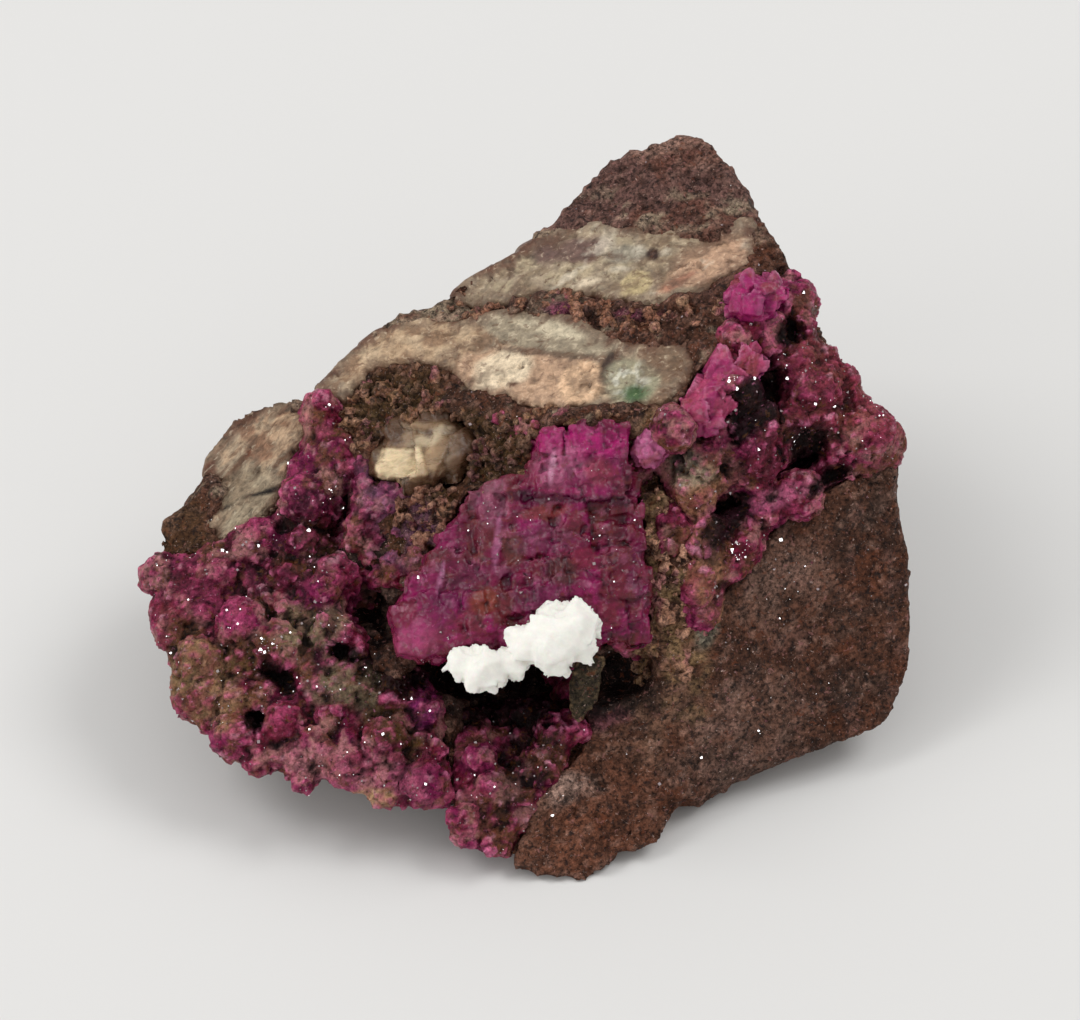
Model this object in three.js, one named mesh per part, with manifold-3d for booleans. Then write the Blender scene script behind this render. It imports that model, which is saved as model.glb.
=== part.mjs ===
// A hand specimen of cobaltoan calcite on matrix: a broken block of brown dolomite rock, crossed by
// pale calcite veins, with hollows and a seam lined by raspberry-pink calcite crystals, a large
// magenta crystal over the main hollow, and a chalk-white mineral cluster resting on its lower edge.
// Units are millimetres, +Z up. The specimen rests on a flat break at z = 0, its crystals face -Y.

import * as THREE from "three";
import { ConvexGeometry } from "three/addons/geometries/ConvexGeometry.js";
import { TessellateModifier } from "three/addons/modifiers/TessellateModifier.js";
import { mergeVertices } from "three/addons/utils/BufferGeometryUtils.js";
import Module from "manifold-3d";

const wasm = await Module();
wasm.setup();

// Driving dimensions
const GAP = 0.3; // clearance between touching pieces
const GRAIN = 8.4; // longest facet edge of the broken rock
const ROUGHNESS = 0.9; // how far the broken faces depart from flat
const VEIN_DEPTH = 2.4; // thickness of the pale veins
const CRUST_DEPTH = 1.8; // thickness of the druse under its crystals
const LIFT = 0.6; // how far the crystals stay above the resting plane
const CRYSTAL_DEPTH = 5.5; // how deep the large crystal sits in the rock

// The specimen was surveyed from one viewpoint: a viewer looks down at it at VIEW_TILT from VIEW_DISTANCE.
// A place is given as u (right) and v (up) in millimetres on a plane through VIEW_CENTRE, square to that
// view, and a height z above the table where the line of sight through (u, v) meets the rock.
const VIEW_TILT = THREE.MathUtils.degToRad(45);
const VIEW_DISTANCE = 450;
const VIEW_CENTRE = new THREE.Vector3(0.9, 0, 20);
const INWARD = new THREE.Vector3(0, Math.cos(VIEW_TILT), -Math.sin(VIEW_TILT));
const UPWARD = new THREE.Vector3(0, Math.sin(VIEW_TILT), Math.cos(VIEW_TILT));
const EYE = VIEW_CENTRE.clone().addScaledVector(INWARD, -VIEW_DISTANCE);

// The point at (u, v) on a plane that lies w behind the survey plane, on the same line of sight.
function along(u, v, w) {
  const spread = (VIEW_DISTANCE + w) / VIEW_DISTANCE;
  return VIEW_CENTRE.clone()
    .add(new THREE.Vector3(u * spread, 0, 0))
    .addScaledVector(UPWARD, v * spread)
    .addScaledVector(INWARD, w);
}

// The point on the line of sight through (u, v) that is z above the table.
function sight([u, v, z]) {
  const ray = along(u, v, 0).sub(EYE);
  return EYE.clone().addScaledVector(ray, (z - EYE.z) / ray.z);
}

// Repeatable random numbers from 0 to 1.
function randomFrom(seed) {
  let state = seed;
  return () => {
    state = (state + 0x6d2b79f5) | 0;
    let t = Math.imul(state ^ (state >>> 15), 1 | state);
    t = (t + Math.imul(t ^ (t >>> 7), 61 | t)) ^ t;
    return ((t ^ (t >>> 14)) >>> 0) / 4294967296;
  };
}

// Smooth noise from -1 to 1: random values on a unit lattice, blended with an eased ramp.
function noise(x, y, z, seed) {
  const cell = [x, y, z].map(Math.floor);
  const ease = [x, y, z].map((c, i) => {
    const t = c - cell[i];
    return t * t * (3 - 2 * t);
  });
  let sum = 0;
  for (let corner = 0; corner < 8; corner++) {
    const step = [corner & 1, (corner >> 1) & 1, corner >> 2];
    const weight = step.reduce((w, s, i) => w * (s ? ease[i] : 1 - ease[i]), 1);
    const key = step.reduce((k, s, i) => k + (cell[i] + s) * [374761, 668265, 982451][i], seed * 7919);
    sum += weight * (randomFrom(key)() * 2 - 1);
  }
  return sum;
}

// A three.js geometry as a manifold-3d solid, its shared vertices merged.
function solidOf(geometry) {
  const plain = geometry.index ? geometry.toNonIndexed() : geometry.clone();
  plain.deleteAttribute("normal");
  plain.deleteAttribute("uv");
  const merged = mergeVertices(plain, 1e-4);
  return new wasm.Manifold(
    new wasm.Mesh({
      numProp: 3,
      vertProperties: merged.getAttribute("position").array,
      triVerts: new Uint32Array(merged.index.array),
    }),
  );
}

// A manifold-3d solid as a three.js geometry.
function geometryOf(solid) {
  const mesh = solid.getMesh();
  const geometry = new THREE.BufferGeometry();
  geometry.setAttribute("position", new THREE.BufferAttribute(Float32Array.from(mesh.vertProperties), 3));
  geometry.setIndex(new THREE.BufferAttribute(Uint32Array.from(mesh.triVerts), 1));
  return geometry;
}

const joined = (solids) => solids.reduce((all, one) => all.add(one));

// A solid with its faces split into facets and pushed about by smooth noise, as stone breaks.
// Vertices on the resting plane stay there.
function roughened(solid, edge, depth, scale, seed) {
  const split = new TessellateModifier(edge, 12).modify(geometryOf(solid).toNonIndexed());
  const merged = mergeVertices(split, 1e-3);
  const place = merged.getAttribute("position");
  for (let i = 0; i < place.count; i++) {
    const p = [place.getX(i), place.getY(i), place.getZ(i)];
    const push = [0, 1, 2].map((axis) => depth * noise(...p.map((c) => c / scale), seed + axis));
    if (p[2] < 0.05) push[2] = 0;
    place.setXYZ(i, p[0] + push[0], p[1] + push[1], Math.max(0, p[2] + push[2]));
  }
  return solidOf(merged);
}

// Main forms of the rock: surveyed corners of overlapping convex blocks.
const UPPER_BLOCK = [
  [14.2, 37.7, 43], [17.2, 36.4, 43], [20.8, 30.2, 42], [24.9, 25.4, 39.5], [25.3, 24.0, 39],
  [28.4, 17.0, 35], [6.9, 34.9, 41], [4.0, 31.0, 39.5], [-1.5, 26.5, 37], [12, 8, 34], [20, 12, 37],
  [3, 9, 33], [24, 5, 30], [0, 18, 34.5],
];
const SHOULDER = [
  [-1.5, 25.5, 36.8], [-8.4, 20.7, 33.5], [-13.0, 18.9, 32], [-16.0, 17.4, 30.5], [-22.3, 11.6, 27],
  [-24.0, 0.0, 22], [-17, -8, 16], [10, 8, 33], [3, 9, 33], [5, -17, 15], [15.5, -5.5, 23.5],
];
const RIGHT_BLOCK = [
  [28.4, 17.0, 35], [30.3, 13.3, 33], [32.8, 11.6, 31], [35.6, 7.2, 27.5], [35.6, 1.0, 22],
  [36.9, -10.5, 12.5], [37.5, -15.5, 9], [35.4, -21.0, 5], [24.5, -25.0, 4], [15.0, -28.7, 3.5],
  [7, -20, 10], [15.5, -5.5, 23.5], [34.8, 5.0, 25.5], [12, 8, 32], [20, 14, 37],
];
const LEFT_END = [
  [-22.3, 11.3, 27], [-29.4, 9.4, 25], [-34.2, 3.4, 22], [-38.2, -2.2, 19], [-39.0, -8.0, 16.5],
  [-38.2, -12.5, 14.5], [-37.0, -17.0, 12], [-33.3, -23.0, 9.5], [-27.0, -25.7, 8.5],
  [-19.0, -28.3, 8], [-10.0, -29.3, 7], [-6.0, -30.0, 6], [-5.0, -20.0, 9], [-14.0, -16.0, 13], [-20.0, -2.0, 21],
];
const TONGUE = [
  [3.2, -37.2, 0], [-1.8, -36.0, 1], [-7.2, -33.0, 4], [-8.3, -31.3, 5.5], [-7, -25, 8.5],
  [4.5, -36.6, 0], [12.5, -33.4, 1.5], [14.4, -29.2, 3.5], [14, -20, 10.5], [3, -19.5, 12], [-6, -20, 11.5],
];
// What the view does not reach, as x, y and z: the back, the resting break and the undercuts.
const BACK = [[12, 36, 22], [24, 29, 18], [33, 14, 12], [26, -10, 0], [29, 8, 0], [14, 28, 0], [-10, 22, 0]];
const SHOULDER_BACK = [
  [-6, 29, 15], [-22, 20, 12], [-10, 22, 0], [-24, 8, 0], [-20, -8, 0], [14, 28, 0], [20, 2, 0], [7, -24, 0],
];
const RIGHT_BACK = [[33, 14, 12], [26, -10, 0], [29, 8, 0], [7, -26, 0], [14, 20, 0]];
const LEFT_BACK = [[-31, 9, 10], [-31, 2, 6], [-28, -8, 4], [-16, -16, 2], [-10, -20, 2], [-24, 10, 12]];
const TONGUE_BASE = [[-2, -20, 0], [12, -16, 0], [5, -30, 0]];

function rockBody() {
  const form = (corners, hidden) =>
    solidOf(new ConvexGeometry([...corners.map(sight), ...hidden.map((p) => new THREE.Vector3(...p))]));
  return joined([
    form(UPPER_BLOCK, BACK),
    form(SHOULDER, SHOULDER_BACK),
    form(RIGHT_BLOCK, RIGHT_BACK),
    form(LEFT_END, LEFT_BACK),
    form(TONGUE, TONGUE_BASE),
  ]);
}

// Casts the line of sight through (u, v) onto a solid: the place and the face normal it meets, or null.
function sightOnto(solid) {
  const target = new THREE.Mesh(geometryOf(solid), new THREE.MeshBasicMaterial());
  target.geometry.computeBoundingSphere();
  return (u, v) => {
    const ray = new THREE.Raycaster(EYE, along(u, v, 0).sub(EYE).normalize());
    const [first] = ray.intersectObject(target);
    return first ? { place: first.point, normal: first.face.normal.clone() } : null;
  };
}

// Turns a geometry modelled with x right, y up and z towards the viewer into the view at a place.
const VIEW_TURN = new THREE.Matrix4().makeBasis(
  new THREE.Vector3(1, 0, 0),
  UPWARD,
  INWARD.clone().negate(),
);

// Hollows and pits: where they open, half width, half height and depth, and their turn in the view.
const HOLLOWS = [
  { at: [-8.5, -16.6], size: [6.5, 3.0, 9.0], turn: -8 }, // under the left of the large crystal
  { at: [-1.0, -17.5], size: [8.5, 3.6, 11.0], turn: 4 }, // middle of the main hollow
  { at: [8.0, -16.5], size: [4.6, 3.4, 9.0], turn: 20 }, // its right end
  { at: [-3.5, -21.8], size: [4.0, 5.0, 4.2], turn: -20 }, // where it runs down to the front
  { at: [-17.0, -10.0], size: [2.8, 6.0, 8.0], turn: 25 }, // the recess left of the large crystal
  { at: [-20.5, -0.5], size: [2.6, 5.5, 6.0], turn: -8 }, // and its upper end
  { at: [-27.2, -15.8], size: [2.2, 1.8, 4.0], turn: 0 }, // pits in the left druse
  { at: [-30.0, -8.5], size: [2.6, 2.2, 3.0], turn: 0 },
  { at: [-28.5, -20.8], size: [1.8, 1.3, 3.0], turn: 0 },
  { at: [22.5, 12.5], size: [3.2, 5.2, 5.5], turn: -40 }, // hollows along the right-hand seam
  { at: [25.8, 4.2], size: [4.6, 2.2, 6.0], turn: 28 },
  { at: [19.0, 0.6], size: [4.4, 1.8, 5.0], turn: 42 },
  { at: [17.2, -7.6], size: [1.4, 2.2, 3.5], turn: -15 },
  { at: [11.0, 3.0], size: [2.0, 1.4, 4.5], turn: 15 },
];

function hollow({ at, size, turn }, seed, cast, margin) {
  const rough = new THREE.IcosahedronGeometry(1, size[0] * size[1] > 20 ? 1 : 0);
  const place = rough.getAttribute("position");
  for (let i = 0; i < place.count; i++) {
    const p = [place.getX(i), place.getY(i), place.getZ(i)];
    const swell = 1 + 0.18 * noise(...p.map((c) => c * 1.7 + 9), seed);
    place.setXYZ(i, ...p.map((c) => c * swell));
  }
  rough.scale(...size.map((half) => half + margin)).rotateZ(THREE.MathUtils.degToRad(turn)).applyMatrix4(VIEW_TURN);
  rough.translate(...cast(...at).place.toArray());
  return solidOf(rough);
}

// The outline with every side moved outwards by a margin.
function offset(outline, margin) {
  const points = outline.map(([u, v]) => new THREE.Vector2(u, v));
  const outward = THREE.ShapeUtils.isClockWise(points) ? -1 : 1;
  return points.map((p, i) => {
    const before = p.clone().sub(points.at(i - 1)).normalize();
    const after = points[(i + 1) % points.length].clone().sub(p).normalize();
    const normal = before.add(after).normalize();
    return new THREE.Vector2(p.x + outward * margin * normal.y, p.y - outward * margin * normal.x);
  });
}

// Everything seen through an outline, from NEAR in front of the survey plane to FAR behind it.
const NEAR = -30;
const FAR = 60;
function seenThrough(outline, margin = 0) {
  const shape = new THREE.Shape(offset(outline, margin));
  const prism = new THREE.ExtrudeGeometry(shape, { depth: FAR - NEAR, bevelEnabled: false });
  const place = prism.getAttribute("position");
  for (let i = 0; i < place.count; i++) {
    place.setXYZ(i, ...along(place.getX(i), place.getY(i), FAR - place.getZ(i)).toArray());
  }
  return solidOf(prism);
}

const moved = (solid, inward) => solid.translate(INWARD.clone().multiplyScalar(inward).toArray());

// Outlines on the survey plane, in millimetres.
const UPPER_VEIN = [
  [-8.6, 21.0], [-4.0, 24.6], [1.5, 27.2], [6.5, 28.0], [12.0, 27.4], [17.5, 26.6], [21.0, 28.8],
  [20.5, 24.5], [15.5, 21.6], [11.0, 20.6], [5.0, 22.0], [0.0, 21.6], [-5.0, 20.4],
];
const LOWER_VEIN = [
  [-22.5, 11.8], [-18.5, 15.5], [-15.5, 17.6], [-11.5, 18.6], [-8.0, 18.0], [-5.6, 19.0], [-2.0, 19.4],
  [3.0, 18.6], [6.8, 16.4], [10.5, 15.6], [15.0, 16.4], [14.5, 13.0], [12.0, 10.8], [8.0, 10.6],
  [3.0, 10.4], [-2.0, 11.2], [-6.5, 12.6], [-9.5, 14.4], [-13.0, 15.0], [-17.0, 14.4], [-20.0, 11.0],
];
const LEFT_VEIN = [
  [-30.0, 9.5], [-26.0, 10.5], [-23.2, 9.4], [-24.8, 5.0], [-26.2, 1.2], [-28.6, -1.5], [-31.2, -3.4],
  [-32.6, -1.6], [-31.0, 2.0], [-33.0, 3.4], [-32.2, 6.4],
];
const CLEAVAGE_SPAR = [
  [-17.4, 3.4], [-15.6, 6.6], [-12.6, 8.6], [-9.2, 9.6], [-7.0, 7.6], [-8.0, 3.0], [-12.0, 2.8],
];
const LARGE_CRYSTAL = [
  [-14.2, -14.2], [-14.6, -10.0], [-10.2, -3.6], [-7.0, 1.4], [-4.0, 2.4], [-1.2, 2.0], [-0.7, 6.8],
  [2.0, 8.3], [8.4, 7.9], [9.4, 3.0], [10.4, -5.0], [11.0, -9.0], [10.2, -12.6], [6.0, -13.4],
  [-4.0, -13.6], [-9.0, -15.0],
];
const LEFT_DRUSE = [
  [-21.0, 10.6], [-24.0, 5.6], [-25.8, 0.4], [-30.0, -3.6], [-36.0, -5.4], [-44.0, -6.0], [-44.0, -33.0],
  [-9.3, -33.0], [-9.1, -26.0], [-10.0, -20.0], [-13.0, -17.4], [-17.0, -16.0], [-19.5, -8.0], [-20.0, -2.0],
  [-18.4, 4.0],
];
const LOWER_DRUSE = [
  [-8.4, -26.4], [-8.2, -20.4], [-5.0, -19.0], [3.6, -19.6], [5.0, -21.6], [3.0, -25.0], [-0.4, -29.0],
  [-2.2, -33.6], [-4.6, -40.0], [-8.7, -40.0],
];
const SEAM_DRUSE = [
  [22.0, 23.2], [26.0, 24.0], [32.0, 20.0], [44.0, 8.0], [40.0, 4.4], [34.0, 4.6], [29.5, 2.6], [24.5, -0.4],
  [20.0, -5.4], [17.0, -10.4], [15.2, -8.0], [16.0, -3.0], [13.6, 1.4], [10.6, 5.0], [11.6, 8.0], [15.4, 12.0],
  [19.4, 18.4],
];

// One cleavage block of calcite: a box sheared into a rhombohedron, its front w behind the survey plane.
const BLOCK_DEPTH = 12;
function cleavageBlock({ at, half, front }) {
  const block = new THREE.BoxGeometry(2 * half[0], 2 * half[1], BLOCK_DEPTH);
  const shear = new THREE.Matrix4().makeBasis(
    new THREE.Vector3(1, 0.05, 0),
    new THREE.Vector3(0.1, 1, -0.06),
    new THREE.Vector3(0.16, 0.22, 1),
  );
  block.translate(0, 0, -BLOCK_DEPTH / 2).applyMatrix4(shear).applyMatrix4(VIEW_TURN);
  return solidOf(block.translate(...along(...at, front).toArray()));
}

const CRYSTAL_BLOCKS = [
  { at: [4.2, 4.8], half: [4.4, 3.0], front: -13.0 },
  { at: [2.0, 0.2], half: [7.4, 3.4], front: -12.2 },
  { at: [6.2, -5.0], half: [4.4, 6.0], front: -13.2 },
  { at: [0.0, -5.0], half: [5.6, 4.6], front: -12.6 },
  { at: [-5.5, -5.5], half: [5.4, 6.4], front: -11.8 },
  { at: [-9.4, -9.4], half: [4.6, 4.6], front: -12.6 },
  { at: [-12.2, -12.0], half: [2.6, 2.4], front: -13.4 },
  { at: [-5.0, -11.2], half: [7.0, 2.6], front: -13.6 },
  { at: [4.0, -10.8], half: [6.4, 2.4], front: -12.6 },
  { at: [8.4, -10.0], half: [2.6, 2.8], front: -11.4 },
  { at: [-4.5, 0.2], half: [2.8, 2.2], front: -11.2 },
];

// A six-sided crystal between two surveyed ends: [along the axis 0 to 1, radius] rings, closed by the hull.
function prismCrystal({ from, to, rings, flat }, margin) {
  const [start, end] = [along(...from), along(...to)];
  const axis = end.clone().sub(start).normalize();
  const side = axis.clone().cross(INWARD).normalize();
  const front = side.clone().cross(axis);
  const corners = rings.flatMap(([t, radius]) =>
    Array.from({ length: 6 }, (_, k) => {
      const angle = ((k + 0.5) * Math.PI) / 3;
      const reach = radius + margin;
      return start.clone().lerp(end, t)
        .addScaledVector(axis, (t - 0.5) * 2 * margin)
        .addScaledVector(side, reach * Math.cos(angle))
        .addScaledVector(front, reach * flat * Math.sin(angle));
    }),
  );
  return solidOf(new ConvexGeometry(corners));
}
const LONG_CRYSTAL = {
  from: [14.6, 7.6, -11.6], to: [21.4, 16.6, -8.6], flat: 0.85,
  rings: [[0, 1.2], [0.14, 2.3], [0.5, 2.7], [0.85, 2.2], [1, 1.2]],
};
const PURPLE_CRYSTAL = {
  from: [19.4, 12.0, -7.0], to: [21.6, 14.8, -10.0], flat: 1,
  rings: [[0, 1.5], [0.8, 1.5], [1, 0.7]],
};
const UPPER_CRYSTAL = {
  from: [19.2, 19.2, -8.4], to: [23.6, 23.0, -7.0], flat: 0.9,
  rings: [[0, 1.0], [0.25, 2.5], [0.7, 2.7], [1, 1.0]],
};
const SMALL_CRYSTAL = {
  from: [10.4, 4.6, -11.0], to: [11.4, 7.8, -11.4], flat: 1,
  rings: [[0, 1.2], [0.3, 1.7], [0.75, 1.5], [1, 0.8]],
};
const GREY_SLIVER = {
  from: [3.8, -21.0, -9.6], to: [5.2, -14.4, -11.4], flat: 0.6,
  rings: [[0, 0.5], [0.35, 1.5], [1, 1.4]],
};

// The chalk-white cluster: crinkled lumps at [u, v, w] with a radius, in two lobes that touch.
const RIGHT_LOBE = [
  [1.4, -12.8, -16.4, 3.1], [3.6, -11.4, -16.2, 2.6], [-0.8, -13.2, -16.0, 2.6], [0.8, -10.8, -15.8, 2.0],
  [3.9, -14.0, -16.0, 1.9], [1.6, -15.0, -16.2, 1.9],
];
const LEFT_LOBE = [
  [-2.6, -15.2, -15.4, 1.9], [-5.6, -16.0, -15.2, 2.5], [-8.0, -15.2, -15.2, 1.9], [-6.0, -17.4, -15.0, 1.5],
];
function lump([u, v, w, radius], i, margin) {
  const geometry = new THREE.IcosahedronGeometry(radius + margin, radius > 3 ? 1 : 0);
  const place = geometry.getAttribute("position");
  for (let k = 0; k < place.count; k++) {
    const p = [place.getX(k), place.getY(k), place.getZ(k)];
    const swell = 1 + 0.2 * noise(...p.map((c) => (c / radius) * 1.9 + i), 5);
    place.setXYZ(k, ...p.map((c) => c * swell));
  }
  return solidOf(geometry.translate(...along(u, v, w).toArray()));
}
const lobes = (margin) => [RIGHT_LOBE, LEFT_LOBE].map((lobe) => lobe.map((l, i) => lump(l, i, margin)));
const whiteCluster = joined(lobes(0).flat());
const whiteRoom = joined(lobes(GAP).map((lobe) => wasm.Manifold.hull(lobe)));

// The three-faced tip of a rhombohedral crystal that points along an axis, its foot sunk below the place.
function crystalTip({ place, axis, size, spin }) {
  const tip = new THREE.ConeGeometry(TIP_RADIUS * size, size, 3);
  tip.rotateX(Math.PI / 2).rotateZ(spin).translate(0, 0, TIP_RISE * size);
  tip.applyQuaternion(new THREE.Quaternion().setFromUnitVectors(new THREE.Vector3(0, 0, 1), axis));
  return solidOf(tip.translate(...place.toArray()));
}
const TIP_RADIUS = 0.9; // of the height of a tip
const TIP_RISE = 0.05; // how far the middle of a tip is above its place, of its height
const TIP_LEAN = 0.45; // how far a tip leans from the face normal, as a slope

// Crystals scattered over what is seen through an outline, no two centres closer than the spacing.
function scattered(cast, outline, { count, sizes, spacing, seed }) {
  const random = randomFrom(seed);
  const points = outline.map(([u, v]) => new THREE.Vector2(u, v));
  const box = new THREE.Box2().setFromPoints(points);
  const inside = ({ x, y }) =>
    points.reduce((odd, a, i) => {
      const b = points.at(i - 1);
      const crosses = a.y > y !== b.y > y && x < ((b.x - a.x) * (y - a.y)) / (b.y - a.y) + a.x;
      return crosses ? !odd : odd;
    }, false);
  const kept = [];
  for (let tries = 0; kept.length < count && tries < 60 * count; tries++) {
    const spot = new THREE.Vector2(
      THREE.MathUtils.lerp(box.min.x, box.max.x, random()),
      THREE.MathUtils.lerp(box.min.y, box.max.y, random()),
    );
    const size = THREE.MathUtils.lerp(sizes[0], sizes[1], random() ** 2);
    const spin = random() * Math.PI;
    const lean = new THREE.Vector3(random() - 0.5, random() - 0.5, random() - 0.5).multiplyScalar(2 * TIP_LEAN);
    const hit = inside(spot) && cast(spot.x, spot.y);
    if (!hit || kept.some((k) => k.place.distanceTo(hit.place) < spacing)) continue;
    kept.push({ place: hit.place, axis: hit.normal.add(lean).normalize(), size, spin });
  }
  return joined(kept.map(crystalTip));
}

// The largest separate body of a solid.
const largest = (solid) => solid.decompose().sort((a, b) => b.volume() - a.volume())[0];

const core = rockBody();
const body = roughened(core, GRAIN, ROUGHNESS, 5, 3);
const castBody = sightOnto(body);
const hollows = (margin) => joined(HOLLOWS.map((h, i) => hollow(h, 20 + i, castBody, margin)));
const carvedCore = core.subtract(hollows(0));
const castCarved = sightOnto(carvedCore);

// The rock left under veins of a thickness, and under a crust of a thickness that lines the hollows too.
const underVeins = (thickness) => moved(core, thickness);
const underCrusts = (thickness) => moved(core, thickness).subtract(hollows(thickness));

// Crystals that stand clear of their neighbours.
const PRISM_CRYSTALS = [LONG_CRYSTAL, PURPLE_CRYSTAL, UPPER_CRYSTAL, SMALL_CRYSTAL, GREY_SLIVER];
const crystalRoom = seenThrough(LARGE_CRYSTAL, GAP).subtract(moved(core, CRYSTAL_DEPTH + GAP));
const clearOfStanding = joined([crystalRoom, whiteRoom, ...PRISM_CRYSTALS.map((c) => prismCrystal(c, GAP))]);
const largeCrystal = joined(CRYSTAL_BLOCKS.map(cleavageBlock))
  .intersect(seenThrough(LARGE_CRYSTAL))
  .subtract(moved(core, CRYSTAL_DEPTH))
  .subtract(whiteRoom);

// A vein: what is seen through its outline of the flat-faced rock, standing proud by a height.
function vein(outline, proud) {
  const top = moved(core, -proud);
  return largest(seenThrough(outline).intersect(top).subtract(underVeins(VEIN_DEPTH)).subtract(clearOfStanding));
}

// A druse: a crust over what is seen through its outline, hollows included, with crystals standing on it.
function druse(outline, scatter) {
  const grown = carvedCore.add(scattered(castCarved, outline, scatter));
  const crust = grown.intersect(seenThrough(outline)).trimByPlane([0, 0, 1], LIFT);
  return largest(
    crust.subtract(underCrusts(CRUST_DEPTH)).subtract(underCrusts(CRUST_DEPTH + GAP)).subtract(clearOfStanding),
  );
}

// The room that a vein or a druse takes in the rock, with its clearance.
const veinRoom = (outline) => seenThrough(outline, GAP).subtract(underVeins(VEIN_DEPTH + GAP));
const druseRoom = (outline) => seenThrough(outline, GAP).subtract(underCrusts(CRUST_DEPTH + GAP));
const matrix = largest(
  [
    ...[UPPER_VEIN, LOWER_VEIN, LEFT_VEIN, CLEAVAGE_SPAR].map(veinRoom),
    ...[LEFT_DRUSE, LOWER_DRUSE, SEAM_DRUSE].map(druseRoom),
    clearOfStanding,
  ].reduce((rock, room) => rock.subtract(room), body.subtract(hollows(0))),
);

const specimen = new THREE.Group();
function piece(name, solid, look) {
  const mesh = new THREE.Mesh(geometryOf(solid), new THREE.MeshStandardMaterial(look));
  mesh.name = name;
  specimen.add(mesh);
}
const ROCK = { color: 0x5a3a30, roughness: 0.85 };
const PALE = { color: 0xb5a98c, roughness: 0.5 };
const PINK = { color: 0x7c2348, roughness: 0.35 };
const MAGENTA = { color: 0x8a1c6a, roughness: 0.3 };
piece("matrix", matrix, ROCK);
piece("upper_vein", vein(UPPER_VEIN, 0.3), PALE);
piece("lower_vein", vein(LOWER_VEIN, 0.5), PALE);
piece("left_vein", vein(LEFT_VEIN, 0.2), PALE);
piece("cleavage_spar", vein(CLEAVAGE_SPAR, 0.7), PALE);
piece("left_druse", druse(LEFT_DRUSE, { count: 40, sizes: [2.8, 5.2], spacing: 3.4, seed: 11 }), PINK);
piece("lower_druse", druse(LOWER_DRUSE, { count: 14, sizes: [2.4, 4.2], spacing: 3.0, seed: 12 }), PINK);
piece("seam_druse", druse(SEAM_DRUSE, { count: 27, sizes: [2.8, 4.8], spacing: 3.4, seed: 13 }), PINK);
piece("large_crystal", largest(largeCrystal), MAGENTA);
piece("long_crystal", prismCrystal(LONG_CRYSTAL, 0), MAGENTA);
piece("purple_crystal", largest(prismCrystal(PURPLE_CRYSTAL, 0).subtract(prismCrystal(LONG_CRYSTAL, GAP))), MAGENTA);
piece("upper_crystal", prismCrystal(UPPER_CRYSTAL, 0), MAGENTA);
piece("small_crystal", prismCrystal(SMALL_CRYSTAL, 0), MAGENTA);
piece("grey_sliver", largest(prismCrystal(GREY_SLIVER, 0).subtract(whiteRoom).subtract(crystalRoom)), ROCK);
piece("white_cluster", whiteCluster, { color: 0xe8e6e0, roughness: 0.9 });

// The origin goes under the middle of the specimen, on its resting plane.
const extent = new THREE.Box3().setFromObject(specimen);
const middle = extent.getCenter(new THREE.Vector3());
specimen.position.set(-middle.x, -middle.y, -extent.min.z);
specimen.updateMatrixWorld();

export default specimen;
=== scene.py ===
"""Cobaltoan calcite on matrix: the looks of a hand specimen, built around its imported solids.

Lengths are in metres, +Z up, and the crystals face -Y. Patterns are worked out in millimetres.
"""

import bpy
import numpy as np
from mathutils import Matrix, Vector
from mathutils.bvhtree import BVHTree


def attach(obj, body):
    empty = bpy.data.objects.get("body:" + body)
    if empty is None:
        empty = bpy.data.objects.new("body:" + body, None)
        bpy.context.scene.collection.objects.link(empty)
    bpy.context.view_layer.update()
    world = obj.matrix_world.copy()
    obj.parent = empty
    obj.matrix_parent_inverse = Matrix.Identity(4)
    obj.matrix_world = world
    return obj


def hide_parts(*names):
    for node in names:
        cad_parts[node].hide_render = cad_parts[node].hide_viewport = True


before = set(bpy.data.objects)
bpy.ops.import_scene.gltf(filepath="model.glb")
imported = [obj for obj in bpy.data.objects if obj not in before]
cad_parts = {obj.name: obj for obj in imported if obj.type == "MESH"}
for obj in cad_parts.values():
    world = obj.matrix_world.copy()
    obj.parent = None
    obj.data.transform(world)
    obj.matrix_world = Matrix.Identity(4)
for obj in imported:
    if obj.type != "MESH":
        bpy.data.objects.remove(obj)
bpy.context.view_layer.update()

# The view: a camera looks down at the specimen at 45 degrees. Places on the specimen are given as
# u (right) and v (up) in millimetres on the plane through VIEW_TARGET that is square to this view.
MM = 0.001
VIEW_TILT = np.radians(45.0)
VIEW_DISTANCE = 0.450
VIEW_TARGET = np.array([1.35, -2.08, 20.0]) * MM
LENS = 150.0
SENSOR = 36.0
INWARD = np.array([0.0, np.cos(VIEW_TILT), -np.sin(VIEW_TILT)])
UPWARD = np.array([0.0, np.sin(VIEW_TILT), np.cos(VIEW_TILT)])
EYE = VIEW_TARGET - VIEW_DISTANCE * INWARD

scene = bpy.context.scene


def in_scene(name, data):
    """An object with its data, put in the scene."""
    made = bpy.data.objects.new(name, data)
    scene.collection.objects.link(made)
    return made


camera_data = bpy.data.cameras.new("camera")
camera_data.lens = LENS
camera_data.sensor_width = SENSOR
camera_data.clip_start = 0.01
camera = in_scene("camera", camera_data)
camera.location = EYE
camera.rotation_euler = (np.pi / 2 - VIEW_TILT, 0.0, 0.0)
scene.camera = camera

# The stage: a pale paper floor that fills the view, with two large soft lights above it, to the left and
# to the right, and a low one at the front left, all inside a white light tent.


def colour(red, green, blue):
    """Linear colour of a display colour from 0 to 255."""
    tone = np.array([red, green, blue]) / 255.0
    return np.where(tone <= 0.04045, tone / 12.92, ((tone + 0.055) / 1.055) ** 2.4)


def new_finish(name):
    """A new material and its shader."""
    material = bpy.data.materials.new(name)
    material.use_nodes = True
    return material, material.node_tree.nodes["Principled BSDF"]


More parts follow.
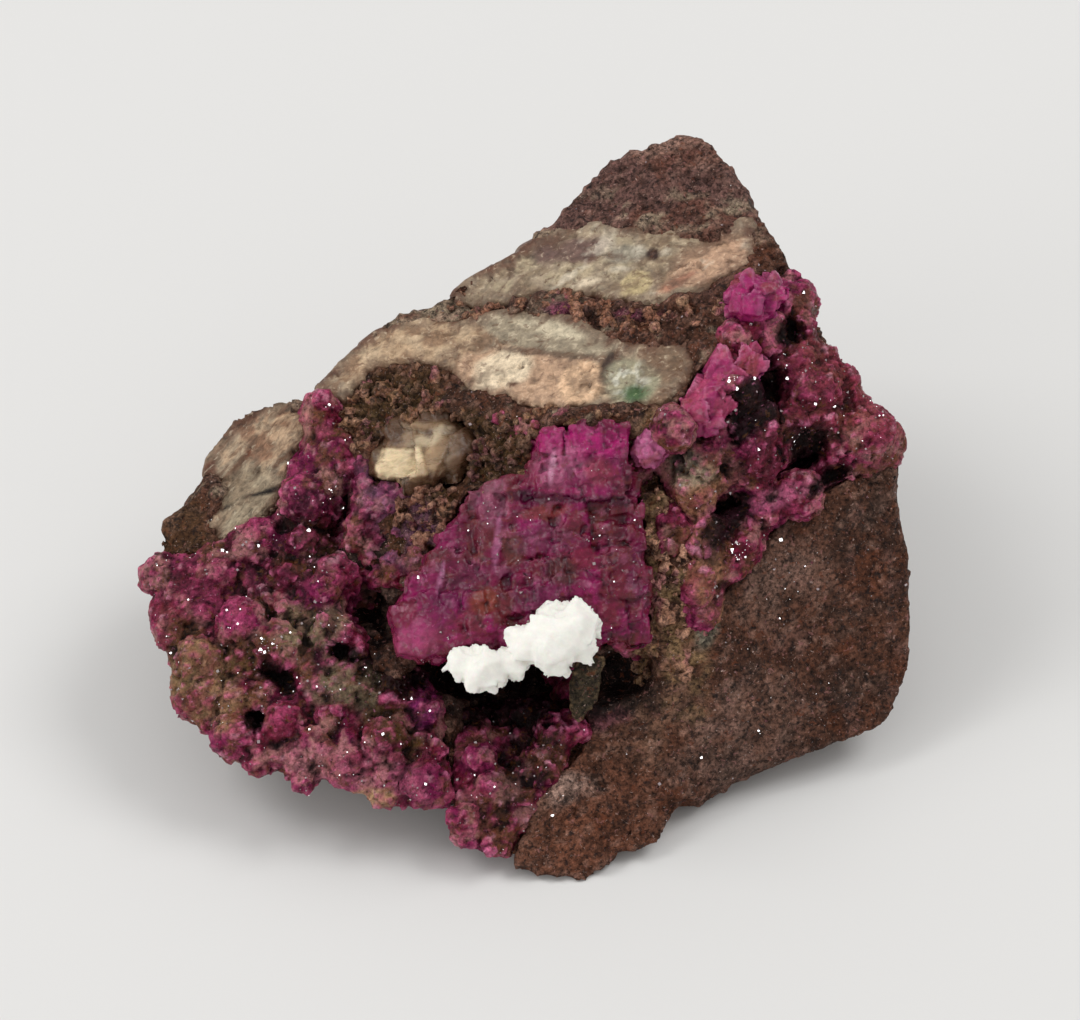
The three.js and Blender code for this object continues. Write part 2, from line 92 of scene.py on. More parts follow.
FLOOR_HALF = 2.0
FLOOR_COLOUR = colour(221, 220, 218)
LIGHT_SIZE = 0.40
LIGHT_AIM = Vector((0, 0, 0.02))
LEFT_LIGHT = (-0.55, 0.05, 0.72)
RIGHT_LIGHT = (0.50, 0.12, 0.75)
FRONT_LIGHT = (-0.70, -0.50, 0.18)
TENT_STRENGTH = 0.60

floor_mesh = bpy.data.meshes.new("floor")
floor_corners = [(-FLOOR_HALF, -FLOOR_HALF, 0), (FLOOR_HALF, -FLOOR_HALF, 0)]
floor_corners += [(FLOOR_HALF, FLOOR_HALF, 0), (-FLOOR_HALF, FLOOR_HALF, 0)]
floor_mesh.from_pydata(floor_corners, [], [(0, 1, 2, 3)])
floor = in_scene("floor", floor_mesh)
floor_material, floor_shader = new_finish("floor_paper")
floor_shader.inputs["Base Color"].default_value = (*FLOOR_COLOUR, 1)
floor_shader.inputs["Roughness"].default_value = 0.9
floor_mesh.materials.append(floor_material)


def softbox(name, place, watts):
    """A square area light at a place, turned to the specimen."""
    data = bpy.data.lights.new(name, "AREA")
    data.size = LIGHT_SIZE
    data.energy = watts
    light = in_scene(name, data)
    light.location = place
    light.rotation_euler = (LIGHT_AIM - Vector(place)).to_track_quat("-Z", "Y").to_euler()


softbox("left_light", LEFT_LIGHT, 2.3)
softbox("right_light", RIGHT_LIGHT, 2.6)
softbox("front_light", FRONT_LIGHT, 2.0)
world = bpy.data.worlds.new("tent")
world.use_nodes = True
world.node_tree.nodes["Background"].inputs["Color"].default_value = (1, 1, 1, 1)
world.node_tree.nodes["Background"].inputs["Strength"].default_value = TENT_STRENGTH
scene.world = world
scene.view_settings.view_transform = "Standard"

# The rock: reddish-brown granular dolomite, broken with a hammer. Its faces are uneven at every scale,
# and it is spongy and olive-brown round the crystals. It is one solid that carries all the rest.


def seen_at(points):
    """u and v in mm where the sight line to a point crosses the view plane, and its distance behind it."""
    offset = points - VIEW_TARGET
    depth = offset @ INWARD
    spread = VIEW_DISTANCE / (VIEW_DISTANCE + depth)
    return offset[:, 0] * spread / MM, (offset @ UPWARD) * spread / MM, depth / MM


def along(u, v, depth=0.0):
    """The point on the sight line through u and v that lies a depth in mm behind the view plane."""
    spread = (VIEW_DISTANCE + depth * MM) / VIEW_DISTANCE
    sideways = np.array([1.0, 0.0, 0.0]) * u * MM * spread
    return VIEW_TARGET + sideways + UPWARD * v * MM * spread + INWARD * depth * MM


LOW_BITS = 0xFFFFFFFF


def chance(cells, seed):
    """A repeatable random number from 0 to 1 for every whole-number cell, by mixing its bits."""
    x, y, z = (cells[..., i].astype(np.int64) for i in range(3))
    bits = (x * 374761393 + y * 668265263 + z * 1103515245 + seed * 974711) & LOW_BITS
    bits = ((bits ^ (bits >> 13)) * 1274126177) & LOW_BITS
    bits = ((bits ^ (bits >> 15)) * 2246822519) & LOW_BITS
    return (bits ^ (bits >> 16)) / (LOW_BITS + 1)


CORNERS = np.array([[i, j, k] for i in (0, 1) for j in (0, 1) for k in (0, 1)])
NEARBY = np.array([[i, j, k] for i in (-1, 0, 1) for j in (-1, 0, 1) for k in (-1, 0, 1)])


def noise(places, size, seed):
    """Smooth noise from -1 to 1: random values at lattice corners a size apart, blended with ease."""
    scaled = places / size
    cell = np.floor(scaled)
    part = scaled - cell
    ease = part * part * (3 - 2 * part)
    total = np.zeros(len(places))
    for corner in CORNERS:
        weight = np.prod(np.where(corner, ease, 1 - ease), axis=1)
        total += weight * chance(cell + corner, seed)
    return total * 2 - 1


def rugged(places, size, seed, octaves=4):
    """Noise summed over octaves, each half the size and 0.55 of the strength of the one before."""
    return sum(0.55**k * noise(places, size / 2**k, seed + 17 * k) for k in range(octaves))


def nearest_grain(places, size, seed):
    """The step from the nearest grain centre in grain sizes, and the cell that the grain belongs to."""
    scaled = places / size
    cell = np.floor(scaled)
    nearest = np.full(len(places), 9.0)
    offset = np.zeros_like(places)
    owner = cell.copy()
    for step in NEARBY:
        home = cell + step
        apart = scaled - home - np.stack([chance(home, seed + i) for i in range(3)], axis=1)
        distance = np.linalg.norm(apart, axis=1)
        closer = distance < nearest
        nearest = np.where(closer, distance, nearest)
        offset = np.where(closer[:, None], apart, offset)
        owner = np.where(closer[:, None], home, owner)
    return offset, owner


def grains(places, size, seed):
    """Distance to the nearest grain centre in grain sizes, and that grain's own random number."""
    offset, owner = nearest_grain(places, size, seed)
    return np.linalg.norm(offset, axis=1), chance(owner, seed + 5)


def facet_heights(places, size, seed, slope=0.7, lift=0.25):
    """Heights in mm of flat facets: each grain is a plane with its own slope and its own lift."""
    offset, owner = nearest_grain(places, size, seed)
    lean = np.stack([chance(owner, seed + 7 + i) for i in range(3)], axis=1) * 2 - 1
    return size * (slope * np.sum(offset * lean, axis=1) + lift * (chance(owner, seed + 5) * 2 - 1))


def ramp(value, low, high):
    """0 below low, 1 above high, eased between."""
    t = np.clip((value - low) / (high - low), 0, 1)
    return t * t * (3 - 2 * t)


def patch(places, at, half, turn=0.0, edge=0.3, wander=0.25, seed=1):
    """1 inside an ellipse in the view, 0 outside, with an edge that wanders by noise."""
    u, v, _ = seen_at(places * MM)
    across, up = u - at[0], v - at[1]
    c, s = np.cos(np.radians(turn)), np.sin(np.radians(turn))
    distance = np.hypot((across * c + up * s) / half[0], (up * c - across * s) / half[1])
    return ramp(-(distance + wander * rugged(places, 3.0, seed)), -1 - edge, -1 + edge)


def within(places, ellipses, edge=0.3, wander=0.25, seed=1, step=1):
    """1 inside any of the ellipses in the view, 0 outside them all. Seeds go up by a step for each."""
    masks = [patch(places, *ellipse, edge, wander, seed + step * i) for i, ellipse in enumerate(ellipses)]
    return np.max(masks, axis=0)


def read(items, attribute, width, kind=float):
    """An attribute of every vertex, triangle or loop of a mesh, as rows with a width of values each."""
    values = np.empty(len(items) * width, dtype=kind)
    items.foreach_get(attribute, values)
    return values.reshape(-1, width)


def shape_of(name):
    """Vertices in mm and triangles of a CAD node, with its doubled vertices merged."""
    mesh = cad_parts[name].data
    mesh.calc_loop_triangles()
    places = np.round(read(mesh.vertices, "co", 3) / MM, 3)
    unique, index = np.unique(places, axis=0, return_inverse=True)
    return unique, index.reshape(-1)[read(mesh.loop_triangles, "vertices", 3, np.int32)]


def remeshed(places, faces, voxel):
    """One closed skin of even quads round everything given, by a voxel remesh, in mm."""
    draft = bpy.data.meshes.new("draft")
    draft.from_pydata(places * MM, [], faces)
    holder = in_scene("draft", draft)
    remesh = holder.modifiers.new("voxels", "REMESH")
    remesh.mode = "VOXEL"
    remesh.voxel_size = voxel * MM
    depsgraph = bpy.context.evaluated_depsgraph_get()
    result = bpy.data.meshes.new_from_object(holder.evaluated_get(depsgraph))
    co = read(result.vertices, "co", 3)
    corners = read(result.loops, "vertex_index", 1, np.int32)
    bpy.data.objects.remove(holder)
    bpy.data.meshes.remove(draft)
    bpy.data.meshes.remove(result)
    return co / MM, corners.reshape(-1, 4)


def spread_to(corners, values, count):
    """Sums values, one row for each entry of corners, into their vertices."""
    return np.stack([np.bincount(corners, values[:, i], count) for i in range(values.shape[1])], axis=1)


def outward(places, quads):
    """Unit normals of the vertices: the sum of the normals of the quads around each."""
    a, b, c, d = (places[quads[:, i]] for i in range(4))
    facing = np.cross(c - a, d - b)
    total = spread_to(quads.reshape(-1), np.repeat(facing, 4, axis=0), len(places))
    return total / np.maximum(np.linalg.norm(total, axis=1, keepdims=True), 1e-12)


def smoothed(places, quads, rounds):
    """Every vertex moved halfway to the mean of its neighbours, for a number of rounds."""
    ends = np.concatenate([quads[:, [i, (i + 1) % 4]] for i in range(4)])
    valence = np.bincount(ends[:, 0], minlength=len(places))[:, None]
    for _ in range(rounds):
        mean = spread_to(ends[:, 0], places[ends[:, 1]], len(places)) / valence
        places = 0.5 * (places + mean)
    return places


def standing(places, quads, rounds=6):
    """How far each vertex stands above its smoothed surroundings, in mm: crests above 0, creases below."""
    return np.sum((places - smoothed(places, quads, rounds)) * outward(places, quads), axis=1)


def blended(places, base, covers):
    """Colours of the vertices: a base colour, or one for each, covered in turn by other colours.

    Each cover is a strength, a colour, and where it lies: a mask, or the ellipse and so on of a patch."""
    tone = np.array(base, dtype=float)
    for strength, cover, *where in covers:
        mask = where[0] if len(where) == 1 else patch(places, *where)
        tone = tone + (mask * strength)[:, None] * (np.array(cover) - tone)
    return tone


def placed(name, places, faces, material, slot):
    """An object of a material, made from places in mm and faces, that rides on the root."""
    mesh = bpy.data.meshes.new(name)
    mesh.from_pydata(places * MM, [], faces)
    mesh.materials.append(material)
    made = in_scene(name, mesh)
    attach(made, "root")
    return made


def piece(name, places, quads, tone, material, nodes, slot):
    """A smooth-shaded object with its vertex colours, that replaces CAD nodes."""
    made = placed(name, places, quads, material, slot)
    made.data.shade_smooth()
    layer = made.data.attributes.new("tone", "FLOAT_COLOR", "POINT")
    rows = np.concatenate([np.clip(tone, 0, 1), np.ones((len(tone), 1))], axis=1)
    layer.data.foreach_set("color", rows.reshape(-1))
    if nodes:
        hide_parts(*nodes)


class Wire:
    """A socket of a material. Sums and products of wires and numbers add Math nodes."""

    def __init__(self, tree, socket):
        self.tree = tree
        self.socket = socket

    def joined(self, operation, first, second):
        return add(self.tree, "ShaderNodeMath", {"operation": operation}, {0: first, 1: second})

    def __add__(self, other):
        return self.joined("ADD", self, other)

    def __sub__(self, other):
        return self.joined("SUBTRACT", self, other)

    def __rsub__(self, other):
        return self.joined("SUBTRACT", other, self)

    def __mul__(self, other):
        return self.joined("MULTIPLY", self, other)

    __radd__ = __add__
    __rmul__ = __mul__


def add(tree, kind, settings, values, output=0):
    """A node of a kind, with its settings and the values or wires of its sockets. Returns one output."""
    node = tree.nodes.new(kind)
    for key, value in settings.items():
        setattr(node, key, value)
    for key, value in values.items():
        if isinstance(value, Wire):
            tree.links.new(value.socket, node.inputs[key])
        else:
            node.inputs[key].default_value = value
    return Wire(tree, node.outputs[output])


def speckle(tree, size, detail=3.0, turn=0.0, stretch=1.0, warp=0.0):
    """Noise from 0 to 1 with features a size in mm across, on the piece's own coordinates.

    Its features are stretched along a line that leans by a turn in degrees from the view's horizontal,
    and wander by the warp."""
    coordinates = add(tree, "ShaderNodeTexCoord", {}, {}, "Object")
    right = np.array([1.0, 0.0, 0.0])
    c, s = np.cos(np.radians(turn)), np.sin(np.radians(turn))
    axes = [(right * c + UPWARD * s) / stretch, UPWARD * c - right * s, INWARD]
    dot = {"operation": "DOT_PRODUCT"}
    parts = [add(tree, "ShaderNodeVectorMath", dot, {0: coordinates, 1: tuple(a)}, "Value") for a in axes]
    place = add(tree, "ShaderNodeCombineXYZ", {}, dict(enumerate(parts)))
    values = {"Vector": place, "Scale": 1.0 / (size * MM), "Detail": detail, "Roughness": 0.65}
    values["Distortion"] = warp
    return add(tree, "ShaderNodeTexNoise", {}, values)


def step_up(tree, value, low, high, strength=1.0):
    """0 below low, the strength above high, even between."""
    return add(tree, "ShaderNodeMapRange", {}, {0: value, 1: low, 2: high, 3: 0.0, 4: strength})


def mixed(tree, first, second, factor):
    """The first colour turned into the second by a factor."""
    return add(tree, "ShaderNodeMix", {"data_type": "RGBA"}, {0: factor, 6: first, 7: second}, 2)


def stone(name, rough, gloss, relief, grain, contrast, flecks, facet, turn=0.0, stretch=1.0, scatter=0.0):
    """A mineral's finish: its vertex colours, made lighter and darker by grains of a size in mm.

    relief is the height of the grains in mm, gloss the specular level. Each fleck is a colour, its size
    in mm, the part of the noise where it starts, and its strength. facet is the size in mm of the small
    crystal faces and how far each leans away from the skin."""
    material, shader = new_finish(name)
    tree = material.node_tree
    surface = add(tree, "ShaderNodeAttribute", {"attribute_name": "tone"}, {}, "Color")
    coarse = speckle(tree, grain, 4.0, turn, stretch, 0.4)
    coordinates = add(tree, "ShaderNodeTexCoord", {}, {}, "Object")
    values = {"Vector": coordinates, "Scale": 1.0 / (facet[0] * MM)}
    faces = add(tree, "ShaderNodeTexVoronoi", {"feature": "F1"}, values, "Color")
    centred = add(tree, "ShaderNodeVectorMath", {"operation": "SUBTRACT"}, {0: faces, 1: (0.5, 0.5, 0.5)})
    leaning = add(tree, "ShaderNodeVectorMath", {"operation": "SCALE"}, {0: centred, "Scale": facet[1]})
    skin = add(tree, "ShaderNodeNewGeometry", {}, {}, "Normal")
    turned = add(tree, "ShaderNodeVectorMath", {"operation": "ADD"}, {0: skin, 1: leaning})
    normal = add(tree, "ShaderNodeVectorMath", {"operation": "NORMALIZE"}, {0: turned})
    face_tone = add(tree, "ShaderNodeSeparateColor", {}, {0: faces}, 0)
    light = 1.0 + (face_tone - 0.5) * (0.5 * min(facet[1], 1.0)) + (coarse - 0.5) * (2.0 * contrast)
    light = add(tree, "ShaderNodeMath", {"operation": "MAXIMUM"}, {0: light, 1: 0.2})
    surface = add(tree, "ShaderNodeVectorMath", {"operation": "SCALE"}, {0: surface, "Scale": light})
    sparkle = 0.0
    for fleck, size, start, strength in flecks:
        dots = step_up(tree, speckle(tree, size, 3.0, turn, stretch, 0.6), start, start + 0.08, strength)
        surface = mixed(tree, surface, (*fleck, 1), dots)
        sparkle = dots + sparkle
    tree.links.new(surface.socket, shader.inputs["Base Color"])
    roughness = rough + (coarse - 0.5) * 0.4 - sparkle * 0.35
    tree.links.new(roughness.socket, shader.inputs["Roughness"])
    height = coarse + speckle(tree, grain * 0.45, 2.0) * 0.5
    values = {"Height": height, "Strength": 1.0, "Distance": relief * MM, "Normal": normal}
    bump = add(tree, "ShaderNodeBump", {}, values)
    tree.links.new(bump.socket, shader.inputs["Normal"])
    shader.inputs["Specular IOR Level"].default_value = gloss
    if scatter:
        shader.inputs["Subsurface Weight"].default_value = scatter
        shader.inputs["Subsurface Radius"].default_value = (1.0, 0.35, 0.6)
        shader.inputs["Subsurface Scale"].default_value = 0.7 * MM
    return material


ROCK_VOXEL = 0.46
RED_BROWN = colour(93, 60, 46)
DARK_BROWN = colour(50, 32, 24)
RUST_BROWN = colour(104, 56, 34)
MAUVE = colour(112, 82, 76)
PINKISH = colour(172, 134, 118)
GREY_BLUE = colour(66, 62, 58)
OLIVE = colour(84, 62, 34)
TAN = colour(168, 136, 98)
PINK = colour(150, 74, 104)
LILAC = colour(160, 104, 138)
BLACK = colour(14, 6, 6)
OLD_CREAM = colour(182, 164, 138)

# Rock flecks: dark, rust and pinkish specks of its own, and tiny near-white ones 0.3 mm across, which are
# painted glints.
rock_flecks = [(colour(34, 28, 28), 0.8, 0.56, 0.7), (colour(124, 66, 42), 0.9, 0.60, 0.5)]
rock_flecks += [(colour(172, 118, 112), 0.7, 0.62, 0.6), (colour(208, 178, 166), 0.30, 0.64, 0.8)]
rock_finish = stone("brown_rock", 0.65, 0.12, 0.50, 0.42, 2.2, rock_flecks, (0.34, 1.2))
places, quads = remeshed(*shape_of("matrix"), ROCK_VOXEL)
places = smoothed(places, quads, 2)
facing = outward(places, quads)
front_side = ramp(-(facing @ INWARD), -0.1, 0.25)
right_face = patch(places, (24, -12), (19, 15), 25, 0.15, 0.05)
SPONGY = [((-14.5, 10.5), (5.5, 3.6), 10), ((-5.2, 6.2), (4.2, 3.8), 0), ((-11.5, -0.5), (3.2, 4.6), 0)]
spongy = within(places, SPONGY)
strip = patch(places, (12.8, -5), (2.8, 14), 8, seed=4)
ledge = patch(places, (3, 20.0), (13, 1.7), -4, 0.3, 0.2, seed=5)
warp = np.stack([noise(places, 1.3, 35 + i) for i in range(3)], axis=1)
edge_pits, _ = grains(places + 0.6 * warp, 1.1, 3)
cells, shade = grains(places, 0.75, 9)
calm = 1 - 0.6 * right_face
relief = 0.65 * rugged(places, 6.0, 31) * calm
relief += 0.35 * (1 - 2 * np.abs(noise(places, 2.3, 41))) * (1 - 0.7 * right_face)
relief += 0.14 * (0.6 - cells) + 0.8 * facet_heights(places, 1.1, 37, 0.3, 0.1) * calm
relief -= 0.7 * np.maximum(np.maximum(spongy, 0.7 * strip), 0.6 * ledge) * ramp(edge_pits, 0.35, 0.7)
resting = 1 - ramp(places[:, 2], 0.1, 1.2)
under = (facing[:, 2] < -0.5) * resting
places = places + facing * (relief * (1 - under))[:, None]
places[:, 2] = np.maximum(places[:, 2], 0.0)
height = standing(places, quads)
depth_of = standing(places, quads, 40)
spongy, strip, ledge = spongy * front_side, strip * front_side, ledge * front_side
# Painted shade: the deep hollows under and beside the large crystal, masked here, are coloured black below.
hollow = within(places, [((-1, -18.0), (12, 4.0), 0), ((-18.5, -6), (3.6, 10), 15)], 0.2, 0.1, step=0)
hollow = np.maximum(hollow, patch(places, (8.2, -16.5), (2.6, 3.4), 0, 0.2, 0.1, seed=3))
saddle = patch(places, (-13.0, -1.5), (2.6, 6.0), 20, seed=6) * ramp(noise(places, 1.6, 8), -0.2, 0.3)
pale_streaks = ramp(rugged(places * [0.35, 1.0, 1.0], 1.4, 43), 0.15, 0.5)
NEAR_VEINS = [((0, 24), (20, 5.5), 18), ((1, 14.5), (19, 5), 4), ((-27, 5), (8, 8), 50)]
near_veins = within(places, NEAR_VEINS, 0.3, 0.3, 9)
apron = patch(places, (12.3, -17.4), (4.2, 6.5), -25, 0.4, 0.4, seed=12)
tongue = patch(places, (3.5, -31.0), (8.0, 8.0), 20, 0.4, 0.3, seed=23)
beyond_ridge = patch(places, (19.0, -23.0), (7.0, 5.0), 35, 0.3, 0.3, seed=24)
grey_spot = patch(places, (14.7, 4.6), (1.2, 1.5), 30, 0.4, 0.3, seed=18)
pale_spot = patch(places, (16.7, -11.6), (0.9, 2.0), -15, 0.4, 0.3, seed=19)
left_pink = patch(places, (2.5, 20.2), (1.6, 0.5), 0, 0.6, 0.5, seed=21)
right_pink = patch(places, (9.5, 19.6), (2.2, 0.5), 0, 0.6, 0.5, seed=22)
rock_tone = blended(
    places,
    RED_BROWN,
    [
        (0.85, MAUVE, (12, 31), (16, 9), 30, 0.3, 0.2, 13),
        (0.5, DARK_BROWN, ramp(rugged(places, 7.0, 51), -0.1, 0.6)),
        (1.0, GREY_BLUE, ramp(rugged(places, 4.0, 57), 0.1, 0.6) * 0.35 * right_face),
        (0.4, RUST_BROWN, ramp(rugged(places, 4.5, 59), 0.1, 0.6)),
        (1.0, DARK_BROWN, ramp(rugged(places, 2.6, 71), 0.05, 0.45) * 0.5 * right_face),
        (1.0, colour(126, 92, 82), ramp(noise(places, 1.8, 72), 0.2, 0.5) * 0.45 * right_face),
        (0.22, PINKISH, (20.5, -22.5), (7.0, 4.5), 35, 0.4, 0.4, 27),
        (0.6, colour(160, 120, 98), apron * ramp(noise(places, 1.4, 58), -0.5, 0.4)),
        (0.5, colour(134, 86, 66), tongue * ramp(noise(places, 2.0, 60), -0.6, 0.4)),
        (0.25, GREY_BLUE, beyond_ridge * ramp(rugged(places, 2.4, 62), -0.1, 0.4)),
        (0.7, colour(170, 104, 116), (7.3, -20.3), (2.6, 0.9), 15, 0.5, 0.7, 25),
        (0.6, colour(190, 160, 146), (2.7, -27.4), (2.4, 1.6), 20, 0.5, 0.6, 26),
        (0.75, OLD_CREAM * 0.8, near_veins * pale_streaks),
        (0.5, DARK_BROWN, ledge),
        (0.3, PINKISH, ramp(shade, 0.86, 0.92)),
        (0.6, DARK_BROWN, ramp(-shade, -0.3, -0.1)),
        # painted highlight: the thin top edge at the peak, lighter and pinkish where it catches the light
        (0.6, PINKISH, (12.5, 36.8), (3.5, 1.2), 10, 0.4, 0.4, 14),
        (0.4, OLIVE, (-35.5, -1.5), (2.6, 4.0), -20, 0.4, 0.8, 15),
        (0.85, OLIVE * 0.8, spongy),
        (0.8, TAN * 0.9, strip * ramp(noise(places, 1.2, 16), -0.4, 0.2)),
        (0.8, OLD_CREAM * 0.7, (14.5, 4.2), (2.2, 2.4), 30, 0.4, 0.3, 17),
        (1.0, GREY_BLUE * 0.6, grey_spot * front_side),
        (1.0, colour(120, 112, 96), pale_spot * front_side),
        (0.3, PINKISH, (25, -7), (4, 3), 30, 0.6, 0.6, 20),
        (0.7, LILAC * 0.6, saddle * front_side),
        (0.7, PINK, left_pink * front_side),
        (0.7, PINK, right_pink * front_side),
        # painted shade: the deep hollows coloured black
        (0.95, BLACK, hollow * front_side),
        # painted highlight on the crests; painted shade in the creases and deep places
        (0.25, PINKISH, ramp(height, 0.06, 0.35)),
        (0.7, DARK_BROWN * 0.4, ramp(-height, 0.04, 0.35)),
        (0.45, DARK_BROWN * 0.5, ramp(-depth_of, 0.2, 1.2)),
    ],
)
piece("rock", places, quads, rock_tone, rock_finish, ["matrix"], "brown_rock")
rock_places, rock_quads = places, quads

# The pale veins: fibrous and cleaved calcite that fills old cracks, grey-cream with peach and brown
# streaks. Each is a slab that dips under the rock all round, so that it shows no edge of its own.
VEIN_VOXEL = 0.32
VEIN_OVERLAP = 0.9
RIM_DIP = 1.1
PALE_GREY = colour(156, 138, 116)
STREAK_BROWN = colour(98, 74, 58)
WHITE_STREAK = colour(232, 220, 198)
GREEN = colour(58, 92, 50)

vein_flecks = [(colour(228, 212, 184), 0.5, 0.60, 0.30), (colour(96, 66, 48), 0.9, 0.58, 0.55)]
upper_finish = stone("fibrous_calcite", 0.45, 0.3, 0.16, 0.50, 0.9, vein_flecks, (0.6, 0.5), 12.0, 1.4)
left_finish = stone("streaked_calcite", 0.5, 0.25, 0.22, 0.42, 1.2, vein_flecks, (0.5, 0.6), 50.0, 2.4)


def lean_of(places, quads):
    """The cosine between the skin and the sight line: -1 where it faces the eye, 0 on the sides."""
    sight = places * MM - EYE
    sight = sight / np.linalg.norm(sight, axis=1, keepdims=True)
    return np.sum(outward(places, quads) * sight, axis=1), sight


def widened(places, quads, margin):
    """A slab with its sides, which run along the sight lines, moved outwards by a margin in mm."""
    facing = outward(places, quads)
    lean, sight = lean_of(places, quads)
    side = facing - lean[:, None] * sight
    return places + side * (margin * ramp(-np.abs(lean), -0.6, -0.25))[:, None]


def panel(places, at, half, turn, skew=0.0, edge=0.06):
    """1 inside a parallelogram in the view, 0 outside, with nearly sharp edges."""
    u, v, _ = seen_at(places * MM)
    across, up = u - at[0], v - at[1]
    c, s = np.cos(np.radians(turn)), np.sin(np.radians(turn))
    along_it, over_it = across * c + up * s, up * c - across * s
    reach = np.maximum(np.abs(along_it - skew * over_it) / half[0], np.abs(over_it) / half[1])
    return ramp(-reach, -1 - edge, -1 + edge)


def rim_of(places, quads, rounds=40):
    """About 0.5 at a slab's sides, falling to 0 a little more than a millimetre and a half inside."""
    lean, _ = lean_of(places, quads)
    return smoothed((lean > -0.45)[:, None] * 1.0, quads, rounds)[:, 0]


def vein(name, finish, turn, stretch, relief, covers):
    """A vein with streaks that run at a turn in the view, and covers of colour that follow from them."""
    places, quads = remeshed(*shape_of(name), VEIN_VOXEL)
    places = smoothed(widened(places, quads, VEIN_OVERLAP), quads, 2)
    facing = outward(places, quads)
    rim = rim_of(places, quads)
    u, v, depth = seen_at(places * MM)
    bend = np.stack([noise(places, 4.0, 71), noise(places, 4.0, 72)], axis=1)
    c, s = np.cos(np.radians(turn)), np.sin(np.radians(turn))
    across = v * c - u * s + 1.3 * bend[:, 0]
    run = np.stack([(u * c + v * s) / stretch + 0.6 * bend[:, 1], across, depth], axis=1)
    streaks = rugged(run, 1.1, 73)
    _, tint = grains(run * [1, 0.6, 0.6], 1.5, 77)
    push = relief * (streaks + 1.0 * (tint - 0.5)) + 0.30 * rugged(places, 5.0, 31) - 0.10
    _, sight = lean_of(places, quads)
    places = places + facing * (push * (1 - rim))[:, None] + sight * (RIM_DIP * rim)[:, None]
    flat = facet_heights(places, 2.6, 78, 0.16, 0.05)
    places = places + facing * (flat * (1 - rim))[:, None]
    height = standing(places, quads)
    edge = ramp(rim + 0.12 * rugged(places, 1.4, 79), 0.16, 0.42)
    rock = blended(places, RED_BROWN, [(0.5, OLD_CREAM * 0.7, ramp(streaks, -0.1, 0.5))])
    tone = blended(places, PALE_GREY, covers(places, streaks, tint))
    tone = tone + edge[:, None] * 0.9 * (rock - tone)
    # Painted shade: the creases of each vein darkened with brown.
    tone = blended(places, tone, [(0.5, STREAK_BROWN * 0.6, ramp(-height, 0.04, 0.3))])
    piece(name + "_calcite", places, quads, tone, finish, [name], "pale_calcite")


def upper_layers(places, streaks, tint):
    """Greenish grey with a brown inlet at the left, a few pale plates, peach at the right, one pit painted
    dark as shade.
    """
    clouds = rugged(places, 2.0, 75)
    return [
        (0.7, colour(128, 108, 84), ramp(clouds, 0.0, 0.5)),
        (0.6, colour(176, 160, 130), ramp(-clouds, 0.05, 0.5)),
        (0.35, colour(186, 166, 136), ramp(tint, 0.6, 0.7)),
        (0.9, MAUVE * 0.8, (2.7, 26.0), (3.4, 1.3), 8, 0.3, 0.5, 5),
        (0.7, colour(148, 142, 128), (8.3, 25.6), (2.0, 1.0), 10, 0.3, 0.3, 6),
        (0.9, colour(222, 204, 176), (4.6, 22.7), (1.6, 0.5), 12, 0.2, 0.2, 7),
        (0.8, colour(192, 172, 128), (9.5, 22.6), (1.6, 1.1), 30, 0.2, 0.3, 8),
        (0.8, colour(190, 150, 122), (15.6, 23.9), (5.0, 2.0), 25, 0.3, 0.4, 9),
        (0.7, colour(162, 106, 84), (14.0, 23.0), (2.6, 0.4), 30, 0.3, 0.5, 10),
        (0.6, STREAK_BROWN, ramp(-streaks, 0.2, 0.6)),
        (0.4, WHITE_STREAK, ramp(streaks, 0.35, 0.7)),
        # painted shade: the pit, dark by colour only
        (1.0, colour(52, 26, 16), (11.3, 25.6), (0.75, 0.65), 0, 0.25, 0.1),
    ]


def lower_layers(places, streaks, tint):
    """A mottled tan lobe, a grey lens above a cream plate and a peach one, and a green and white end."""
    clouds = rugged(places, 1.6, 76)
    frost = patch(places, (9.0, 12.8), (2.0, 2.0), 0) * ramp(rugged(places, 0.8, 12), 0.15, 0.4)
    return [
        (0.8, colour(184, 154, 122), (-12.2, 16.6), (7.0, 3.0), 22, 0.3, 0.25, 3),
        (0.7, colour(124, 92, 68), ramp(clouds, 0.0, 0.4)),
        (0.5, colour(196, 172, 142), ramp(-clouds, 0.1, 0.5)),
        (1.0, colour(186, 152, 124), (-1.0, 13.4), (7.4, 3.2), 4, 0.1, 0.15, 4),
        (0.95, colour(224, 204, 174), (-3.8, 13.9), (3.2, 1.7), 32, 0.25, 0.25, 4),
        (0.95, colour(222, 184, 148), (4.2, 12.7), (2.5, 2.1), 25, 0.12, 0.12, 5),
        (1.0, colour(152, 138, 116), (0.2, 17.6), (7.0, 1.9), -12, 0.1, 0.15, 7),
        (0.8, colour(206, 192, 164), (1.4, 18.0), (5.0, 0.55), -12, 0.3, 0.4, 8),
        (0.8, STREAK_BROWN, (0.6, 15.7), (6.4, 0.28), -6, 0.4, 0.8, 9),
        (0.9, DARK_BROWN, (6.8, 14.2), (0.5, 1.6), -20, 0.4, 0.8, 10),
        (0.8, colour(112, 88, 68), (13.5, 16.2), (3.6, 2.4), 60, 0.3, 0.25, 8),
        (0.9, colour(156, 150, 124), (9.0, 12.6), (2.6, 2.4), 0, 0.2, 0.2, 11),
        (0.8, colour(214, 210, 192), frost),
        (0.5, STREAK_BROWN, ramp(-streaks, 0.25, 0.6)),
        (0.9, GREEN, (9.4, 11.6), (1.3, 0.8), 0, 0.6, 0.6, 9),
        (1.0, colour(92, 56, 36), (-2.7, 12.6), (0.7, 0.35), 10, 0.4, 0.4, 10),
    ]


